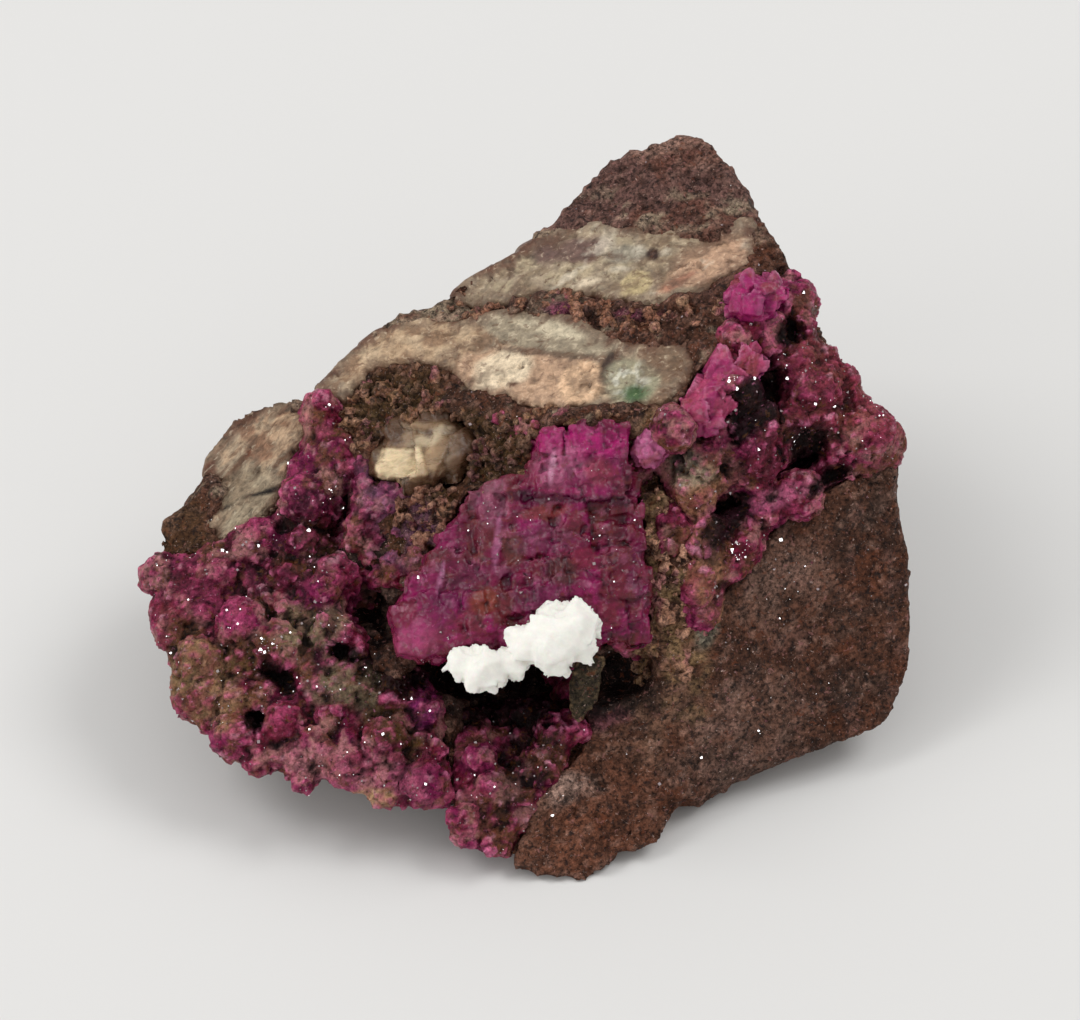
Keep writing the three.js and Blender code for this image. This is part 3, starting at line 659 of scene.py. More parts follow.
def left_layers(places, streaks, tint):
    """Grey, cream and brown streaks up the slab, with dark cracks across it and a pink blush."""
    blush = patch(places, (-25.0, -0.8), (6.5, 1.6), 42, seed=5) * ramp(noise(places, 1.0, 6), 0.0, 0.4)
    return [
        (0.7, colour(182, 150, 120), ramp(streaks, 0.0, 0.5)),
        (0.85, colour(98, 66, 48), ramp(-streaks, 0.0, 0.5)),
        (0.6, RUST_BROWN, ramp(rugged(places, 3.0, 75), 0.1, 0.5)),
        (0.6, colour(156, 144, 120), (-29.6, 0.6), (2.4, 3.4), -30, 0.4, 0.4, 4),
        (0.8, PINK, blush),
        (1.0, BLACK, (-28.2, 1.6), (2.2, 0.28), 14, 0.5, 0.6, 2),
        (1.0, BLACK, (-31.5, 0.2), (0.9, 0.25), 25, 0.5, 0.6, 3),
    ]


vein("upper_vein", upper_finish, 14, 2.4, 0.16, upper_layers)
vein("lower_vein", upper_finish, 6, 2.2, 0.18, lower_layers)
vein("left_vein", left_finish, 50, 5.0, 0.22, left_layers)

# The spar: one block of cream calcite, cleaved into steps, in the spongy rock above the large crystal. Its
# broad face is bright and smooth, and its sides are brown and sunk into the rock.
SPAR_VOXEL = 0.22
SPAR_OVERLAP = 0.7
spar_flecks = [(colour(100, 76, 52), 0.9, 0.60, 0.5)]
spar_finish = stone("cleaved_calcite", 0.3, 0.45, 0.10, 0.5, 0.6, spar_flecks, (1.2, 0.25), 10.0, 2.5, 0.2)
places, quads = remeshed(*shape_of("cleavage_spar"), SPAR_VOXEL)
places = smoothed(widened(places, quads, SPAR_OVERLAP), quads, 1)
spar_rim = rim_of(places, quads, 60)
facing = outward(places, quads)
_, tint = grains(places * [0.5, 0.5, 1.0], 1.6, 27)
planes = facet_heights(places, 3.4, 24, 0.35, 0.1)
bright_face = panel(places, (-14.1, 4.7), (2.6, 1.5), 4, -0.25)
side_face = panel(places, (-10.6, 5.4), (0.9, 2.4), -20, 0.0, 0.2)
places = places + facing * (planes + 0.16 * (tint - 0.5) + 0.10 * rugged(places, 1.5, 28))[:, None]
places = places - INWARD * (0.6 * bright_face + 0.4 * side_face)[:, None]
places = places + INWARD * (0.5 + 2.2 * spar_rim + 1.6 * spar_rim * rugged(places, 1.4, 26))[:, None]
height = standing(places, quads)
spar_tone = blended(
    places,
    colour(138, 112, 84),
    [
        (0.5, colour(112, 90, 66), ramp(rugged(places, 2.5, 29), 0.0, 0.5)),
        (0.95, colour(216, 194, 156), bright_face),
        (0.7, colour(160, 132, 100), side_face),
        (0.6, colour(196, 180, 150), (-10.5, 7.6), (2.4, 0.8), 25, 0.3, 0.3, 5),
        (0.9, colour(98, 72, 52), (-7.0, 4.6), (3.0, 4.4), 10, 0.4, 0.3, 6),
        (0.95, colour(84, 58, 40), ramp(spar_rim + 0.20 * rugged(places, 1.6, 25), 0.10, 0.30)),
        # painted shade: creases darker
        (0.6, STREAK_BROWN, ramp(-height, 0.03, 0.2)),
    ],
)
piece("pale_spar", places, quads, spar_tone, spar_finish, ["cleavage_spar"], "pale_calcite")

# The druses: crusts of raspberry-pink calcite that line the hollows, grown as rounded lumps of tiny
# crystals, with brown and olive clumps and pits between them. Pits and deep creases are painted black as
# shade.
DRUSE_VOXEL = 0.30
# A patch with the strength PIT is a pit: pushed in by PIT_DEPTH and painted black as shade.
PIT = 1
PIT_DEPTH = 1.6
RASPBERRY = colour(98, 20, 42)
DARK_WINE = colour(44, 8, 20)
ROSE = colour(176, 70, 110)
VIOLET = colour(116, 22, 76)
DUSTY = colour(112, 78, 48)
SALMON = colour(128, 56, 60)

druse_flecks = [(colour(220, 136, 172), 0.45, 0.64, 0.5), (colour(104, 66, 34), 0.9, 0.59, 0.55)]
druse_finish = stone("pink_druse", 0.34, 0.12, 0.24, 0.46, 1.6, druse_flecks, (0.42, 1.0), scatter=0.15)


def ball(rings=6, turns=10):
    """A unit sphere of triangles as places and faces, from a grid of two angles."""
    polar = np.linspace(0, np.pi, rings + 1)[1:-1]
    around = np.linspace(0, 2 * np.pi, turns, endpoint=False)
    p, r = np.meshgrid(polar, around, indexing="ij")
    grid = np.stack([np.sin(p) * np.cos(r), np.sin(p) * np.sin(r), np.cos(p)], axis=-1).reshape(-1, 3)
    places = np.concatenate([grid, [[0, 0, 1]], [[0, 0, -1]]])
    index = np.arange(len(grid)).reshape(rings - 1, turns)
    right = np.roll(index, -1, axis=1)
    a, b, c, d = index[:-1], index[1:], right[1:], right[:-1]
    sides = [np.stack([a, b, c], -1).reshape(-1, 3), np.stack([a, c, d], -1).reshape(-1, 3)]
    top = np.stack([np.full(turns, len(grid)), index[0], right[0]], -1)
    bottom = np.stack([np.full(turns, len(grid) + 1), right[-1], index[-1]], -1)
    return places, np.concatenate([*sides, top, bottom])


def sprinkled(places, quads, count, seed, allowed):
    """Random places on the skin with their normals, drawn from the vertices that allowed marks."""
    draw = np.random.default_rng(seed)
    chosen = draw.choice(np.flatnonzero(allowed), count, replace=False)
    return places[chosen], outward(places, quads)[chosen], draw


def copies(shapes, faces):
    """Copies of a small shape, with a row of places for each, as places and faces."""
    steps = np.arange(len(shapes))[:, None, None] * shapes.shape[1]
    return shapes.reshape(-1, 3), (faces[None] + steps).reshape(-1, 3)


def together(shapes):
    """Several shapes, each as places and faces, put together as one."""
    starts = np.cumsum([0] + [len(places) for places, _ in shapes])
    faces = [faces + start for (_, faces), start in zip(shapes, starts)]
    return np.concatenate([places for places, _ in shapes]), np.concatenate(faces)


def lumps_on(places, quads, count, seed, span, allowed, sink):
    """Balls of radii in a span, most of them small, sunk by a part of their radius at allowed vertices."""
    centres, normals, draw = sprinkled(places, quads, count, seed, allowed)
    radii = span[0] + (span[1] - span[0]) * draw.random(count) ** 2.2
    round_places, round_faces = ball()
    sunk = centres - normals * (radii * sink)[:, None]
    return copies(sunk[:, None] + round_places[None] * radii[:, None, None], round_faces)


def granular(places, quads, seed, coarse, fine):
    """A skin raised in rounded grains of two sizes. Returns places, heights and each grain's number."""
    facing = outward(places, quads)
    cells, own = grains(places, 1.15, seed + 2)
    small, shade = grains(places, 0.6, seed + 7)
    push = coarse * (0.5 - cells) + fine * (0.55 - small) + 0.45 * rugged(places, 4.0, seed + 4, 2)
    push += 0.45 * facet_heights(places, 0.9, seed + 8)
    places = places + facing * push[:, None]
    places[:, 2] = np.maximum(places[:, 2], 0.3)
    return places, standing(places, quads, 8), standing(places, quads, 45), own, shade


def crust_tone(places, skin, patches):
    """Violet and brown grains, colour patches, crests partly painted highlight; creases, depths, pits
    painted shade.
    """
    height, bulk, own, shade = skin
    spots, pits = [], []
    for step, (at, half, turn, tint, strength) in enumerate(patches):
        inside = patch(places, at, half, turn, 0.4, 0.6, seed=step + 3)
        grainy = 0.5 + 0.5 * ramp(own + 0.5 * noise(places, 1.5, 95 + step), 0.2, 0.6)
        if strength == PIT:
            pits.append((0.92, tint, inside))
        else:
            spots.append((1.0, tint, inside * strength * grainy))
    covers = [
        (0.6, VIOLET, ramp(rugged(places, 5.0, 91), 0.0, 0.5)),
        (0.6, DARK_WINE * 1.3, ramp(rugged(places, 6.0, 97), 0.0, 0.5)),
        (0.7, DUSTY * 0.8, ramp(rugged(places, 2.4, 93), 0.10, 0.4)),
        (0.55, colour(182, 130, 124), ramp(rugged(places, 2.0, 99), 0.25, 0.6)),
        (0.4, ROSE, ramp(own, 0.74, 0.8)),
        *spots,
        # rosy crests and lumps: partly the pink rims of the crystals, partly painted highlight
        (0.65, ROSE, ramp(height, 0.04, 0.30)),
        (0.55, ROSE * 1.1, ramp(bulk, 0.2, 0.9)),
        (0.6, colour(220, 140, 172), ramp(height, 0.16, 0.40)),
        # painted shade: creases dark wine, the depths between the lumps black
        (0.85, DARK_WINE * 0.5, ramp(-height, 0.02, 0.30)),
        (0.92, BLACK, ramp(-bulk, -0.15, 0.5)),
        (0.4, colour(206, 150, 164), ramp(shade, 0.93, 0.96) * ramp(height, 0.0, 0.1)),
        # painted shade: the pits black
        *pits,
    ]
    return blended(places, RASPBERRY, covers)


def druse(name, node, seed, count, radii, patches, bare=(), coarse=0.40, fine=0.16):
    """A crust of lumps: balls half sunk in the smoothed solid, skinned together, then made granular."""
    places, quads = remeshed(*shape_of(node), DRUSE_VOXEL * 1.6)
    places = smoothed(places, quads, 5)
    allowed = outward(places, quads) @ INWARD < 0.0
    for at, half, turn in bare:
        allowed = allowed & (patch(places, at, half, turn, 0.05, 0.0) < 0.5)
    lumps = lumps_on(places, quads, count, seed, radii, allowed, HALF_SUNK)
    halves = np.concatenate([quads[:, [0, 1, 2]], quads[:, [0, 2, 3]]])
    places, quads = remeshed(*together([(places, halves), lumps]), DRUSE_VOXEL)
    for step, (at, half, turn, _, strength) in enumerate(patches):
        if strength == PIT:
            inside = patch(places, at, half, turn, 0.4, 0.6, seed=step + 3)
            places = places + INWARD * PIT_DEPTH * inside[:, None]
    places, *skin = granular(places, quads, seed, coarse, fine)
    piece(name, places, quads, crust_tone(places, skin, patches), druse_finish, [node], "pink_druse")
    return places, quads


GREY_OLIVE = colour(122, 110, 84)
HALF_SUNK = 0.5
LEFT_PATCHES = [
    ((-34.0, -8.5), (4.0, 4.5), 0, ROSE, 0.5),
    ((-36.0, -15), (2.6, 7.0), 10, OLIVE, 0.8),
    ((-33.4, -17.5), (3.4, 4.4), 0, TAN * 0.9, 0.7),
    ((-29.4, -14.2), (2.2, 1.8), 0, OLIVE, 0.9),
    ((-24.5, -3.5), (3.0, 5.0), -30, DARK_WINE, 0.8),
    ((-19, -26), (7, 2.6), -18, colour(186, 112, 128), 0.5),
    ((-13.5, -16.6), (4.4, 1.7), -12, BLACK, PIT),
    ((-22.6, -11.8), (3.0, 2.4), 20, GREY_OLIVE * 1.3, 0.85),
    ((-19.5, -18.0), (2.8, 2.4), 20, GREY_OLIVE, 0.9),
    ((-14.6, -21.6), (3.0, 2.0), -40, OLIVE, 0.9),
    ((-11.4, -19.6), (1.8, 3.2), -20, colour(128, 34, 96), 0.9),
    ((-17.2, -28.8), (2.0, 0.8), 0, TAN, 0.9),
    ((-22, -3.5), (3.0, 2.2), 0, OLIVE * 0.4, 0.8),
    ((-26.3, -16.2), (2.0, 1.0), -35, BLACK, PIT),
    ((-28.6, -21.3), (0.9, 0.8), 0, BLACK, PIT),
    ((-19.4, -14.3), (1.7, 0.8), -20, BLACK, PIT),
]
left_places, left_quads = druse("left_crust", "left_druse", 11, 300, (0.7, 2.8), LEFT_PATCHES)
# The first black patch is painted shade in the lower crust's hollow; the second is a pit.
LOWER_PATCHES = [((-2, -25), (3.4, 6), 0, BLACK, 0.75), ((-3, -19.5), (8, 2.0), 0, BLACK, PIT)]
lower_places, lower_quads = druse("lower_crust", "lower_druse", 12, 120, (0.5, 1.9), LOWER_PATCHES)
SEAM_PATCHES = [
    ((31, 10), (4.5, 3.5), 0, SALMON * 1.15, 0.6),
    ((26.5, 14.5), (3.4, 3.0), 0, SALMON, 0.5),
    ((16.2, 3.0), (3.0, 3.6), 20, colour(148, 104, 78), 0.95),
    ((16.4, -6.0), (2.4, 5.4), 12, colour(148, 104, 78), 0.9),
    ((24, 1.4), (8.5, 0.9), 14, colour(176, 100, 128), 0.6),
    ((22, 8), (5, 5), 0, colour(78, 26, 36), 0.7),
    ((14.9, 4.2), (2.1, 2.0), 0, OLD_CREAM * 0.8, 0.9),
    ((15.2, 4.8), (1.4, 1.1), 20, colour(72, 66, 58), 0.95),
    ((27, 17), (2.5, 4.0), 0, SALMON, 0.5),
    ((22.5, 12.0), (2.6, 4.2), -25, BLACK, PIT),
    ((27.0, 6.5), (2.6, 1.6), 30, BLACK, PIT),
    ((28.0, 2.6), (2.6, 1.2), 30, BLACK, PIT),
    ((18.5, -1.5), (1.6, 3.4), -35, BLACK, PIT),
    ((24.5, 17.5), (1.2, 2.0), 0, BLACK, PIT),
]
seam_bare = [((17.8, 12.5), (5.6, 2.6), 52), ((21.2, 20.8), (3.2, 3.6), 0), ((11.2, 5.4), (1.8, 2.0), 0)]
seam_places, seam_quads = druse(
    "seam_crust", "seam_druse", 13, 230, (0.8, 2.8), SEAM_PATCHES, seam_bare, 0.30, 0.10
)

# The pink crust inside the hollows: wine-red lumps in the recess left of the large crystal, under it,
# and along the brown strip to its right, grown straight on the rock.
towards = outward(rock_places, rock_quads) @ INWARD < 0.1
RECESS = [((-19.0, -7.0), (2.6, 4.6), 15), ((-14.5, -3.5), (2.6, 6.5), 25), ((10.2, 5.0), (1.4, 3.0), 0)]
RECESS += [((9.6, -11.0), (1.6, 4.0), 10), ((15.8, -4.5), (1.4, 6.0), 10), ((13.6, -0.5), (1.2, 3.0), 0)]
RECESS += [((-3.5, -14.5), (5.0, 2.0), 10), ((1.8, -17.5), (1.6, 1.4), 0), ((-2.5, 8.6), (3.5, 0.9), -10)]
RECESS_VOXEL = 0.26
grown = towards & (within(rock_places, RECESS, 0.3, 0.4, 30) > 0.5)
lumps = lumps_on(rock_places, rock_quads, 420, 15, (0.4, 1.7), grown, HALF_SUNK)
places, quads = remeshed(*lumps, RECESS_VOXEL)
places, *skin = granular(places, quads, 15, 0.35, 0.14)
RECESS_PATCHES = [((-14.5, 0), (3.2, 5), 20, LILAC * 0.55, 0.85), ((-12, -3), (2, 3), 0, DUSTY, 0.7)]
recess_tone = crust_tone(places, skin, RECESS_PATCHES)
piece("recess_crust", places, quads, recess_tone, druse_finish, [], "pink_druse")

# The crumbly rock round the crystals: brown, olive and tan grains of weathered dolomite, loose-looking
# but grown on, along the strip right of the large crystal, the brown band and the saddle.
CRUMBLY = [((13.6, -5), (3.2, 11.0), 8), ((-14.5, 10.0), (6.0, 3.4), 10), ((-5.2, 6.0), (4.0, 3.4), 0)]
CRUMBLY += [((-11.5, 0.5), (3.0, 4.0), 0), ((4, 20.0), (13, 1.5), -4), ((16.5, 8.5), (1.5, 7.0), -38)]
CRUMBLY += [((12.0, -14.0), (3.4, 3.0), 0), ((4, 9.4), (9.0, 1.0), 2)]
CRUMB_VOXEL = 0.24
CRUMB_SUNK = 0.7
CRUMB_LIGHT = 1.2
grown = towards & (within(rock_places, CRUMBLY, 0.3, 0.4, 50) > 0.5)
lumps = lumps_on(rock_places, rock_quads, 1000, 16, (0.25, 0.8), grown, CRUMB_SUNK)
places, quads = remeshed(*lumps, CRUMB_VOXEL)
facing = outward(places, quads)
places = places + facing * (facet_heights(places, 0.8, 17) + 0.3 * rugged(places, 0.9, 18))[:, None]
height = standing(places, quads, 8)
_, own = grains(places, 0.8, 17)
crumb_tone = blended(
    places,
    colour(122, 84, 62),
    [
        (0.7, OLIVE, ramp(rugged(places, 3.0, 19), 0.0, 0.5)),
        (0.5, TAN * 0.9, ramp(own, 0.62, 0.7)),
        (0.4, colour(124, 82, 64), (-12.0, 9.0), (10.0, 6.0), 10, 0.3, 0.3),
        (0.5, colour(164, 112, 98), (-12.0, -1.0), (3.6, 4.6), 15, 0.3, 0.3),
        (0.75, colour(214, 160, 132), (14.5, -4), (4.5, 12), 8, 0.3, 0.3, 2),
        (0.6, colour(150, 100, 80), (4, 20), (14, 2.2), -4, 0.3, 0.3, 3),
        (0.7, DARK_BROWN, ramp(0.4 - own, 0.2, 0.28)),
        (0.6, PINK * 0.8, ramp(noise(places, 1.6, 20), 0.35, 0.6)),
        (0.6, OLIVE * 0.4, (-5.2, 6.0), (4.0, 3.4), 0, 0.3, 0.3),
        (0.7, GREY_BLUE * 0.6, (14.8, 3.4), (1.5, 2.2), 20, 0.3, 0.3),
        (0.8, OLD_CREAM, (14.0, 5.4), (1.6, 0.7), 30, 0.3, 0.3),
        # painted highlight on the crests; painted shade in the creases
        (0.3, PINKISH, ramp(height, 0.04, 0.25)),
        (0.5, DARK_BROWN * 0.7, ramp(-height, 0.03, 0.25)),
    ],
)
piece("crumbly_rock", places, quads, crumb_tone * CRUMB_LIGHT, rock_finish, [], "brown_rock")

# The magenta crystals: coarse cobaltoan calcite, glassy and a little translucent. The large one is a
# stack of cleavage blocks that grew together over the main hollow, with rust-brown inclusions.
CRYSTAL_VOXEL = 0.24
MAGENTA_SLOT = "magenta_calcite"
MAGENTA = colour(112, 20, 62)
VIVID = colour(166, 24, 108)
RUST = colour(112, 50, 32)
DEEP_PURPLE = colour(84, 14, 54)
BRIGHT_PINK = colour(186, 84, 132)
FROST = colour(184, 110, 144)
LARGE_CRYSTAL_SHADE = np.array([0.90, 0.82, 0.82])
SMALL_CRYSTAL_VOXEL = 0.18

crystal_flecks = [(colour(206, 110, 160), 0.40, 0.64, 0.35), (colour(112, 48, 34), 1.0, 0.58, 0.4)]
crystal_finish = stone(
    "magenta_calcite", 0.22, 0.3, 0.08, 0.60, 0.8, crystal_flecks, (0.60, 0.5), scatter=0.2
)

CLEAVAGE = np.array([[1.0, 0.04, 0.14], [0.10, 1.0, 0.20], [0.0, -0.06, 1.0]])
VIEW_AXES = np.stack([[1.0, 0.0, 0.0], UPWARD, -INWARD])
CUBE = np.array([[i, j, k] for i in (-1, 1) for j in (-1, 1) for k in (-1, 1)], dtype=float)
CUBE_QUADS = np.array([[0, 1, 3, 2], [4, 6, 7, 5], [0, 4, 5, 1], [2, 3, 7, 6], [0, 2, 6, 4], [1, 5, 7, 3]])
CUBE_FACES = np.concatenate([CUBE_QUADS[:, [0, 1, 2]], CUBE_QUADS[:, [0, 2, 3]]])


def blocks(centres, halves):
    """Cleavage blocks: cubes sheared alike into rhombohedra, at centres, with half sizes in mm."""
    sheared = (CUBE[None] * halves[:, None]) @ CLEAVAGE.T @ VIEW_AXES
    return copies(centres[:, None] + sheared, CUBE_FACES)


def blocky(node, count, seed, sizes, proud):
    """A crystal's solid with cleavage blocks set in the side that faces the eye, at random places."""
    solid, faces = shape_of(node)
    surface = BVHTree.FromPolygons((solid * MM).tolist(), faces.tolist())
    u, v, _ = seen_at(solid * MM)
    draw = np.random.default_rng(seed)
    centres = []
    halves = []
    for _ in range(count):
        aim = along(draw.uniform(u.min(), u.max()), draw.uniform(v.min(), v.max())) - EYE
        hit = surface.ray_cast(Vector(EYE), Vector(aim).normalized())[0]
        if hit is not None:
            depth = sizes[1] * 1.3
            centres.append(np.array(hit) / MM + INWARD * (depth - draw.uniform(-0.2, proud)))
            halves.append([draw.uniform(*sizes), draw.uniform(*sizes) * 1.2, depth])
    return together([(solid, faces), blocks(np.array(centres), np.array(halves))])


def bricks(places, across, up, seed):
    """A random number for each brick of a skewed wall of bricks, seen in the view."""
    u, v, _ = seen_at(places * MM)
    row = np.floor((v - 0.16 * u + 0.3 * noise(places, 2.0, seed)) / up)
    shift = chance(np.stack([row, row * 0, row * 0], axis=1), seed)
    column = np.floor((u + 0.12 * v + 0.3 * noise(places, 2.0, seed + 1)) / across + shift)
    return chance(np.stack([column, row, row * 0], axis=1), seed + 2)


places, quads = remeshed(*blocky("large_crystal", 620, 5, (0.3, 1.1), 0.6), CRYSTAL_VOXEL)
places = smoothed(places, quads, 1)
facing = outward(places, quads)
etch, own = grains(places, 0.9, 61)
tip = patch(places, (-12.3, -12.8), (3.4, 2.6), 20, 0.5, 0.15)
ground = smoothed(places, quads, 60)
places = places + tip[:, None] * 0.9 * (ground - places)
push = 0.08 * (0.5 - etch) + 0.10 * rugged(places, 2.0, 63, 3) + facet_heights(places, 1.4, 69, 0.22, 0.08)
large_brick = bricks(places, 4.0, 5.0, 64)
small_brick = bricks(places, 1.7, 2.3, 66)
step = (1.2 * (large_brick - 0.5) + 0.4 * (small_brick - 0.5)) * (1 - tip)
places = places + facing * (push * (1 - 0.6 * tip))[:, None] - INWARD * step[:, None]
height = standing(places, quads, 8)
bulk = standing(places, quads, 40)
crystal_tone = blended(
    places,
    MAGENTA,
    [
        (0.7, DEEP_PURPLE, ramp(large_brick + 0.3 * noise(places, 2.0, 65), 0.60, 0.75)),
        (0.7, RUST * 0.6, ramp(0.4 - large_brick + 0.3 * noise(places, 2.0, 70), 0.15, 0.35)),
        (0.6, VIVID * 0.7, ramp(small_brick + 0.3 * noise(places, 1.5, 68), 0.75, 0.9)),
        (0.5, colour(130, 34, 58), ramp(0.4 - small_brick, 0.2, 0.35)),
        (0.6, RUST * 0.7, ramp(rugged(places, 2.4, 67), 0.1, 0.45)),
        (0.85, VIVID, (4.2, 6.6), (4.6, 1.6), -3),
        (0.35, VIVID, (3.5, 3.0), (5.0, 2.6), 0, 0.3, 0.25, 2),
        (0.5, FROST, (2.2, 4.2), (2.6, 1.8), 10, 0.5, 0.4, 21),
        # painted glint: a small near-white pink streak
        (0.8, colour(226, 170, 200), (1.2, 4.4), (0.3, 1.8), -6, 0.4, 0.6, 22),
        (0.6, colour(140, 58, 70), (6.0, 3.8), (1.5, 1.5), 0, 0.3, 0.25, 3),
        (0.8, colour(124, 54, 54), (0.4, -0.2), (2.6, 0.7), 8, 0.3, 0.25, 4),
        (0.8, colour(96, 54, 46), (-2.6, -4.2), (1.2, 1.8), 0, 0.3, 0.25, 5),
        (0.8, colour(132, 60, 44), (-5.6, -9.2), (1.4, 1.2), 20, 0.3, 0.25, 6),
        (0.85, colour(80, 40, 40), (2.2, -6.2), (1.5, 1.4), 0, 0.3, 0.25, 7),
        (0.7, colour(118, 30, 50), (7.4, -6.8), (1.4, 4.2), -5, 0.3, 0.25, 8),
        (0.5, FROST * 0.7, (-5.4, 0.8), (1.8, 1.8), 20, 0.5, 0.6, 9),
        (0.5, colour(80, 18, 40), (7.8, -2.0), (1.0, 7.5), -5, 0.4, 0.4, 12),
        (0.75, DEEP_PURPLE * 0.5, (1.8, 1.2), (6.2, 0.4), -3, 0.5, 0.5, 13),
        (0.5, colour(106, 24, 78), (-8.2, -8.6), (3.8, 1.6), 55, 0.5, 0.5, 14),
        (0.7, colour(200, 132, 176), (-9.9, -6.8), (0.25, 1.5), -10, 0.4, 0.6, 15),
        (0.5, colour(186, 118, 160), (-4.2, -2.6), (0.25, 2.6), -6, 0.4, 0.8, 16),
        (0.45, colour(112, 48, 84), (0.0, -3.0), (3.4, 1.4), 7, 0.2, 0.3, 17),
        (0.5, colour(84, 22, 56), (1.0, -9.2), (2.8, 1.8), 10, 0.3, 0.4, 18),
        (0.35, colour(92, 26, 58), (-9.0, -5.0), (2.2, 5.0), -35, 0.5, 0.5, 10),
        (0.3, colour(140, 44, 92), tip),
        (0.45, BRIGHT_PINK, (-12.6, -13.0), (2.2, 1.4), 25, 0.6, 0.3, 11),
        (0.25, FROST, ramp(own, 0.88, 0.92)),
        (0.2, FROST, ramp(height, 0.06, 0.30)),
        # painted shade: creases and deep places darker
        (0.7, DEEP_PURPLE * 0.4, ramp(-height, 0.03, 0.25)),
        (0.6, DEEP_PURPLE * 0.3, ramp(-bulk, 0.1, 0.8)),
    ],
)
crystal_tone = crystal_tone * LARGE_CRYSTAL_SHADE
piece("large_magenta_crystal", places, quads, crystal_tone, crystal_finish, ["large_crystal"], MAGENTA_SLOT)
large_crystal_places, large_crystal_quads = places, quads


def single_crystal(name, node, base, seed, count, sizes, face):
    """One crystal of the seam: the solid with a few cleavage blocks and a finely etched skin."""
    places, quads = remeshed(*blocky(node, count, seed, sizes, 0.5), SMALL_CRYSTAL_VOXEL)
    places = smoothed(places, quads, 1)
    facing = outward(places, quads)
    step = bricks(places, 2.4, 3.2, seed) - 0.5
    facets = facet_heights(places, face, seed, 0.34, 0.1)
    places = places + facing * (0.03 * rugged(places, 1.2, seed, 3) + 0.3 * step + facets)[:, None]
    height = standing(places, quads, 8)
    tone = blended(
        places,
        base,
        [
            (0.6, RUST * 1.2, ramp(rugged(places, 2.2, seed + 1), 0.1, 0.5)),
            (0.6, VIVID * 0.6, ramp(rugged(places, 1.8, seed + 2), 0.1, 0.5)),
            (0.5, FROST, ramp(height, 0.02, 0.2)),
            # painted shade: creases darker
            (0.6, DEEP_PURPLE * 0.4, ramp(-height, 0.02, 0.2)),
        ],
    )
    piece(name, places, quads, tone, crystal_finish, [node], MAGENTA_SLOT)


single_crystal("long_pink_crystal", "long_crystal", colour(160, 56, 92), 81, 16, (0.3, 0.8), 2.2)
single_crystal("small_purple_crystal", "purple_crystal", colour(150, 26, 120), 82, 8, (0.4, 0.9), 1.0)
single_crystal("upper_magenta_crystal", "upper_crystal", colour(156, 40, 98), 83, 9, (0.5, 1.3), 2.2)
single_crystal("small_pink_crystal", "small_crystal", colour(176, 88, 130), 84, 12, (0.3, 0.7), 0.9)

# The white cluster: chalk-white crumpled sheets in two lobes, grown together, that sit on the lip of the
# main hollow. They are matt, with jagged outlines and soft folds.
WHITE = colour(238, 236, 228)
FOLD_SHADE = colour(206, 200, 188)
CLUSTER_VOXEL = 0.2
white_finish = stone("white_mineral", 0.9, 0.1, 0.05, 0.5, 0.1, [], (0.8, 0.08), scatter=0.2)
places, quads = remeshed(*shape_of("white_cluster"), CLUSTER_VOXEL)
places = smoothed(places, quads, 8)
facing = outward(places, quads)
lean, sight = lean_of(places, quads)
side = facing - lean[:, None] * sight
jagged = 0.3 - 1.1 * np.abs(rugged(places, 2.6, 21, 4))
crumple = 0.45 * noise(places, 2.6, 22) + 0.12 * noise(places, 0.9, 25)
jagged += 0.5 * (chance(np.floor(places / 0.9), 24) - 0.5)
walls = ramp(-np.abs(lean), -0.75, -0.35)
places = places + side * (1.2 * jagged * walls)[:, None] + facing * crumple[:, None]
bulk = standing(places, quads, 12)
white_tone = blended(places, WHITE, [(0.3, FOLD_SHADE, ramp(-bulk, 0.05, 0.4))])
piece("white_sheets", places, quads, white_tone, white_finish, ["white_cluster"], "white_mineral")

# The dark sliver: a thin upright splinter of dark rock that stands in the hollow under the white cluster,
# broken from the same dolomite and grown fast to it.
SLIVER = colour(62, 54, 42)
SLIVER_VOXEL = 0.2
places, quads = remeshed(*shape_of("grey_sliver"), SLIVER_VOXEL)
facing = outward(places, quads)
places = places + facing * (0.35 * rugged(places, 1.5, 23))[:, None]
height = standing(places, quads)
sliver_tone = blended(places, SLIVER, [(0.5, TAN, ramp(height, 0.0, 0.2))])
piece("dark_sliver_rock", places, quads, sliver_tone, rock_finish, ["grey_sliver"], "dark_sliver")

# The glints: tiny clear crystals all over the crusts and the broken rock. Each has one flat face on a
# point that is sunk in the skin. Some of the faces are turned so that they mirror one of the two lights.
GLINT_SIZE = (0.05, 0.22)
MIRROR_SIZE = (0.04, 0.26)
MOSTLY_SMALL = 5
MIRROR_ASTRAY = 0.07
GLINT_DEPTH = 0.08
POINT_LENGTH = 1.5
POINT_FACES = np.array([[0, 1, 2], [0, 2, 3], [1, 0, 4], [2, 1, 4], [3, 2, 4], [0, 3, 4]])
glint_material, glint_shader = new_finish("clear_facets")
glint_shader.inputs["Base Color"].default_value = (*colour(112, 66, 72), 1)
glint_shader.inputs["Roughness"].default_value = 0.06
glint_shader.inputs["IOR"].default_value = 2.6
glint_shader.inputs["Specular IOR Level"].default_value = 1.0
SPARKLING = [((-20.5, 1.6), 0.9), ((-17.9, 7.7), 0.8), ((-27.2, -13.6), 1.0), ((-17.2, -16.1), 0.7)]
SPARKLING += [((24.7, 14.8), 0.9), ((29.5, 10.8), 0.8), ((25.9, 7.4), 1.0), ((19.5, 13.2), 0.7)]
SPARKLING += [((20, -4), 0.8), ((2, -28), 3.5), ((-4, -34), 2.5), ((25, -7), 3.6)]


def unit(vectors):
    """Rows scaled to length 1."""
    return vectors / np.linalg.norm(vectors, axis=1, keepdims=True)


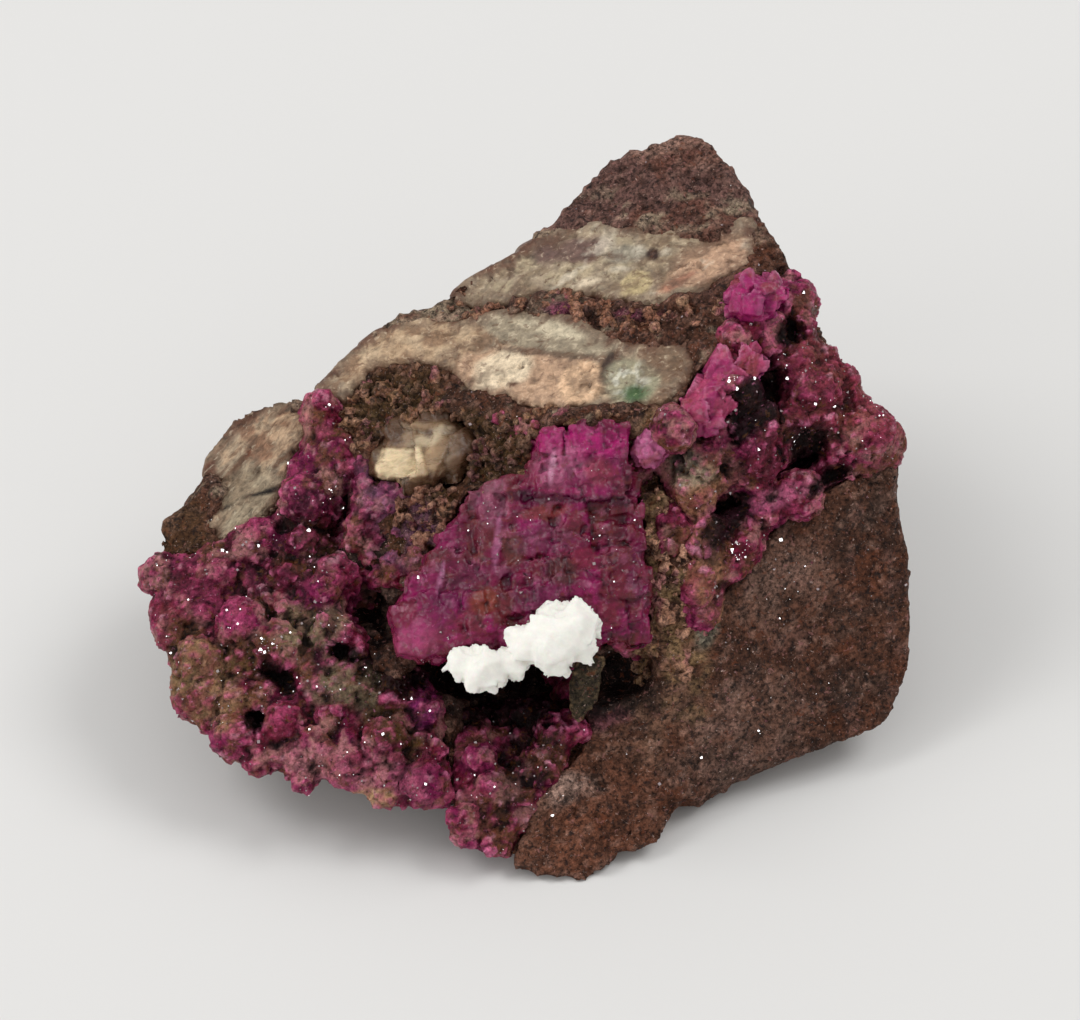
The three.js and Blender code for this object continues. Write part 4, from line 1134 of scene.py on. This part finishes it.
def points(centres, normals, sizes, draw):
    """Crystal points as places and faces: a square face with a normal, and a tip behind it."""
    aside = unit(np.cross(normals, draw.normal(size=normals.shape)))
    other = np.cross(normals, aside)
    shapes = np.stack([aside, other, -aside, -other, -POINT_LENGTH * normals], axis=1) * sizes[:, None, None]
    return copies(centres[:, None] + shapes, POINT_FACES)


def mirroring(centres, draw):
    """Normals halfway between the way to the eye and the way to one light, a few degrees astray."""
    lights = np.array([LEFT_LIGHT, RIGHT_LIGHT])[draw.integers(0, 2, len(centres))]
    halfway = unit(unit(lights - centres * MM) + unit(EYE - centres * MM))
    return unit(halfway + MIRROR_ASTRAY * draw.normal(size=halfway.shape))


def glints(name, places, quads, counts, seed, slot):
    """Crystal points on the skin that faces the eye: plain ones, mirrors, and mirrors in the clusters."""
    towards = outward(places, quads) @ INWARD < -0.2
    near = within(places, [(at, (reach, reach), 0) for at, reach in SPARKLING], 0.3, 0.3, step=0)
    plain, mirrors, clustered = counts
    centres, normals, draw = sprinkled(places, quads, plain, seed, towards)
    shapes = [(centres, unit(normals + draw.normal(size=normals.shape)), GLINT_SIZE)]
    for count, allowed in ((mirrors, towards), (clustered, towards & (near > 0.5))):
        if count:
            centres, _, draw = sprinkled(places, quads, count, seed + count, allowed)
            shapes.append((centres, mirroring(centres, draw), MIRROR_SIZE))
    made = []
    for centres, normals, (least, most) in shapes:
        sizes = least + (most - least) * draw.random(len(centres)) ** MOSTLY_SMALL
        made.append(points(centres - INWARD * GLINT_DEPTH, normals, sizes, draw))
    placed(name, *together(made), glint_material, slot)


glints("left_glints", left_places, left_quads, (700, 80, 40), 41, "pink_druse")
glints("lower_glints", lower_places, lower_quads, (200, 24, 0), 42, "pink_druse")
glints("seam_glints", seam_places, seam_quads, (440, 56, 60), 43, "pink_druse")
glints("rock_glints", rock_places, rock_quads, (500, 44, 36), 44, "brown_rock")
glints("crystal_glints", large_crystal_places, large_crystal_quads, (160, 16, 0), 45, MAGENTA_SLOT)
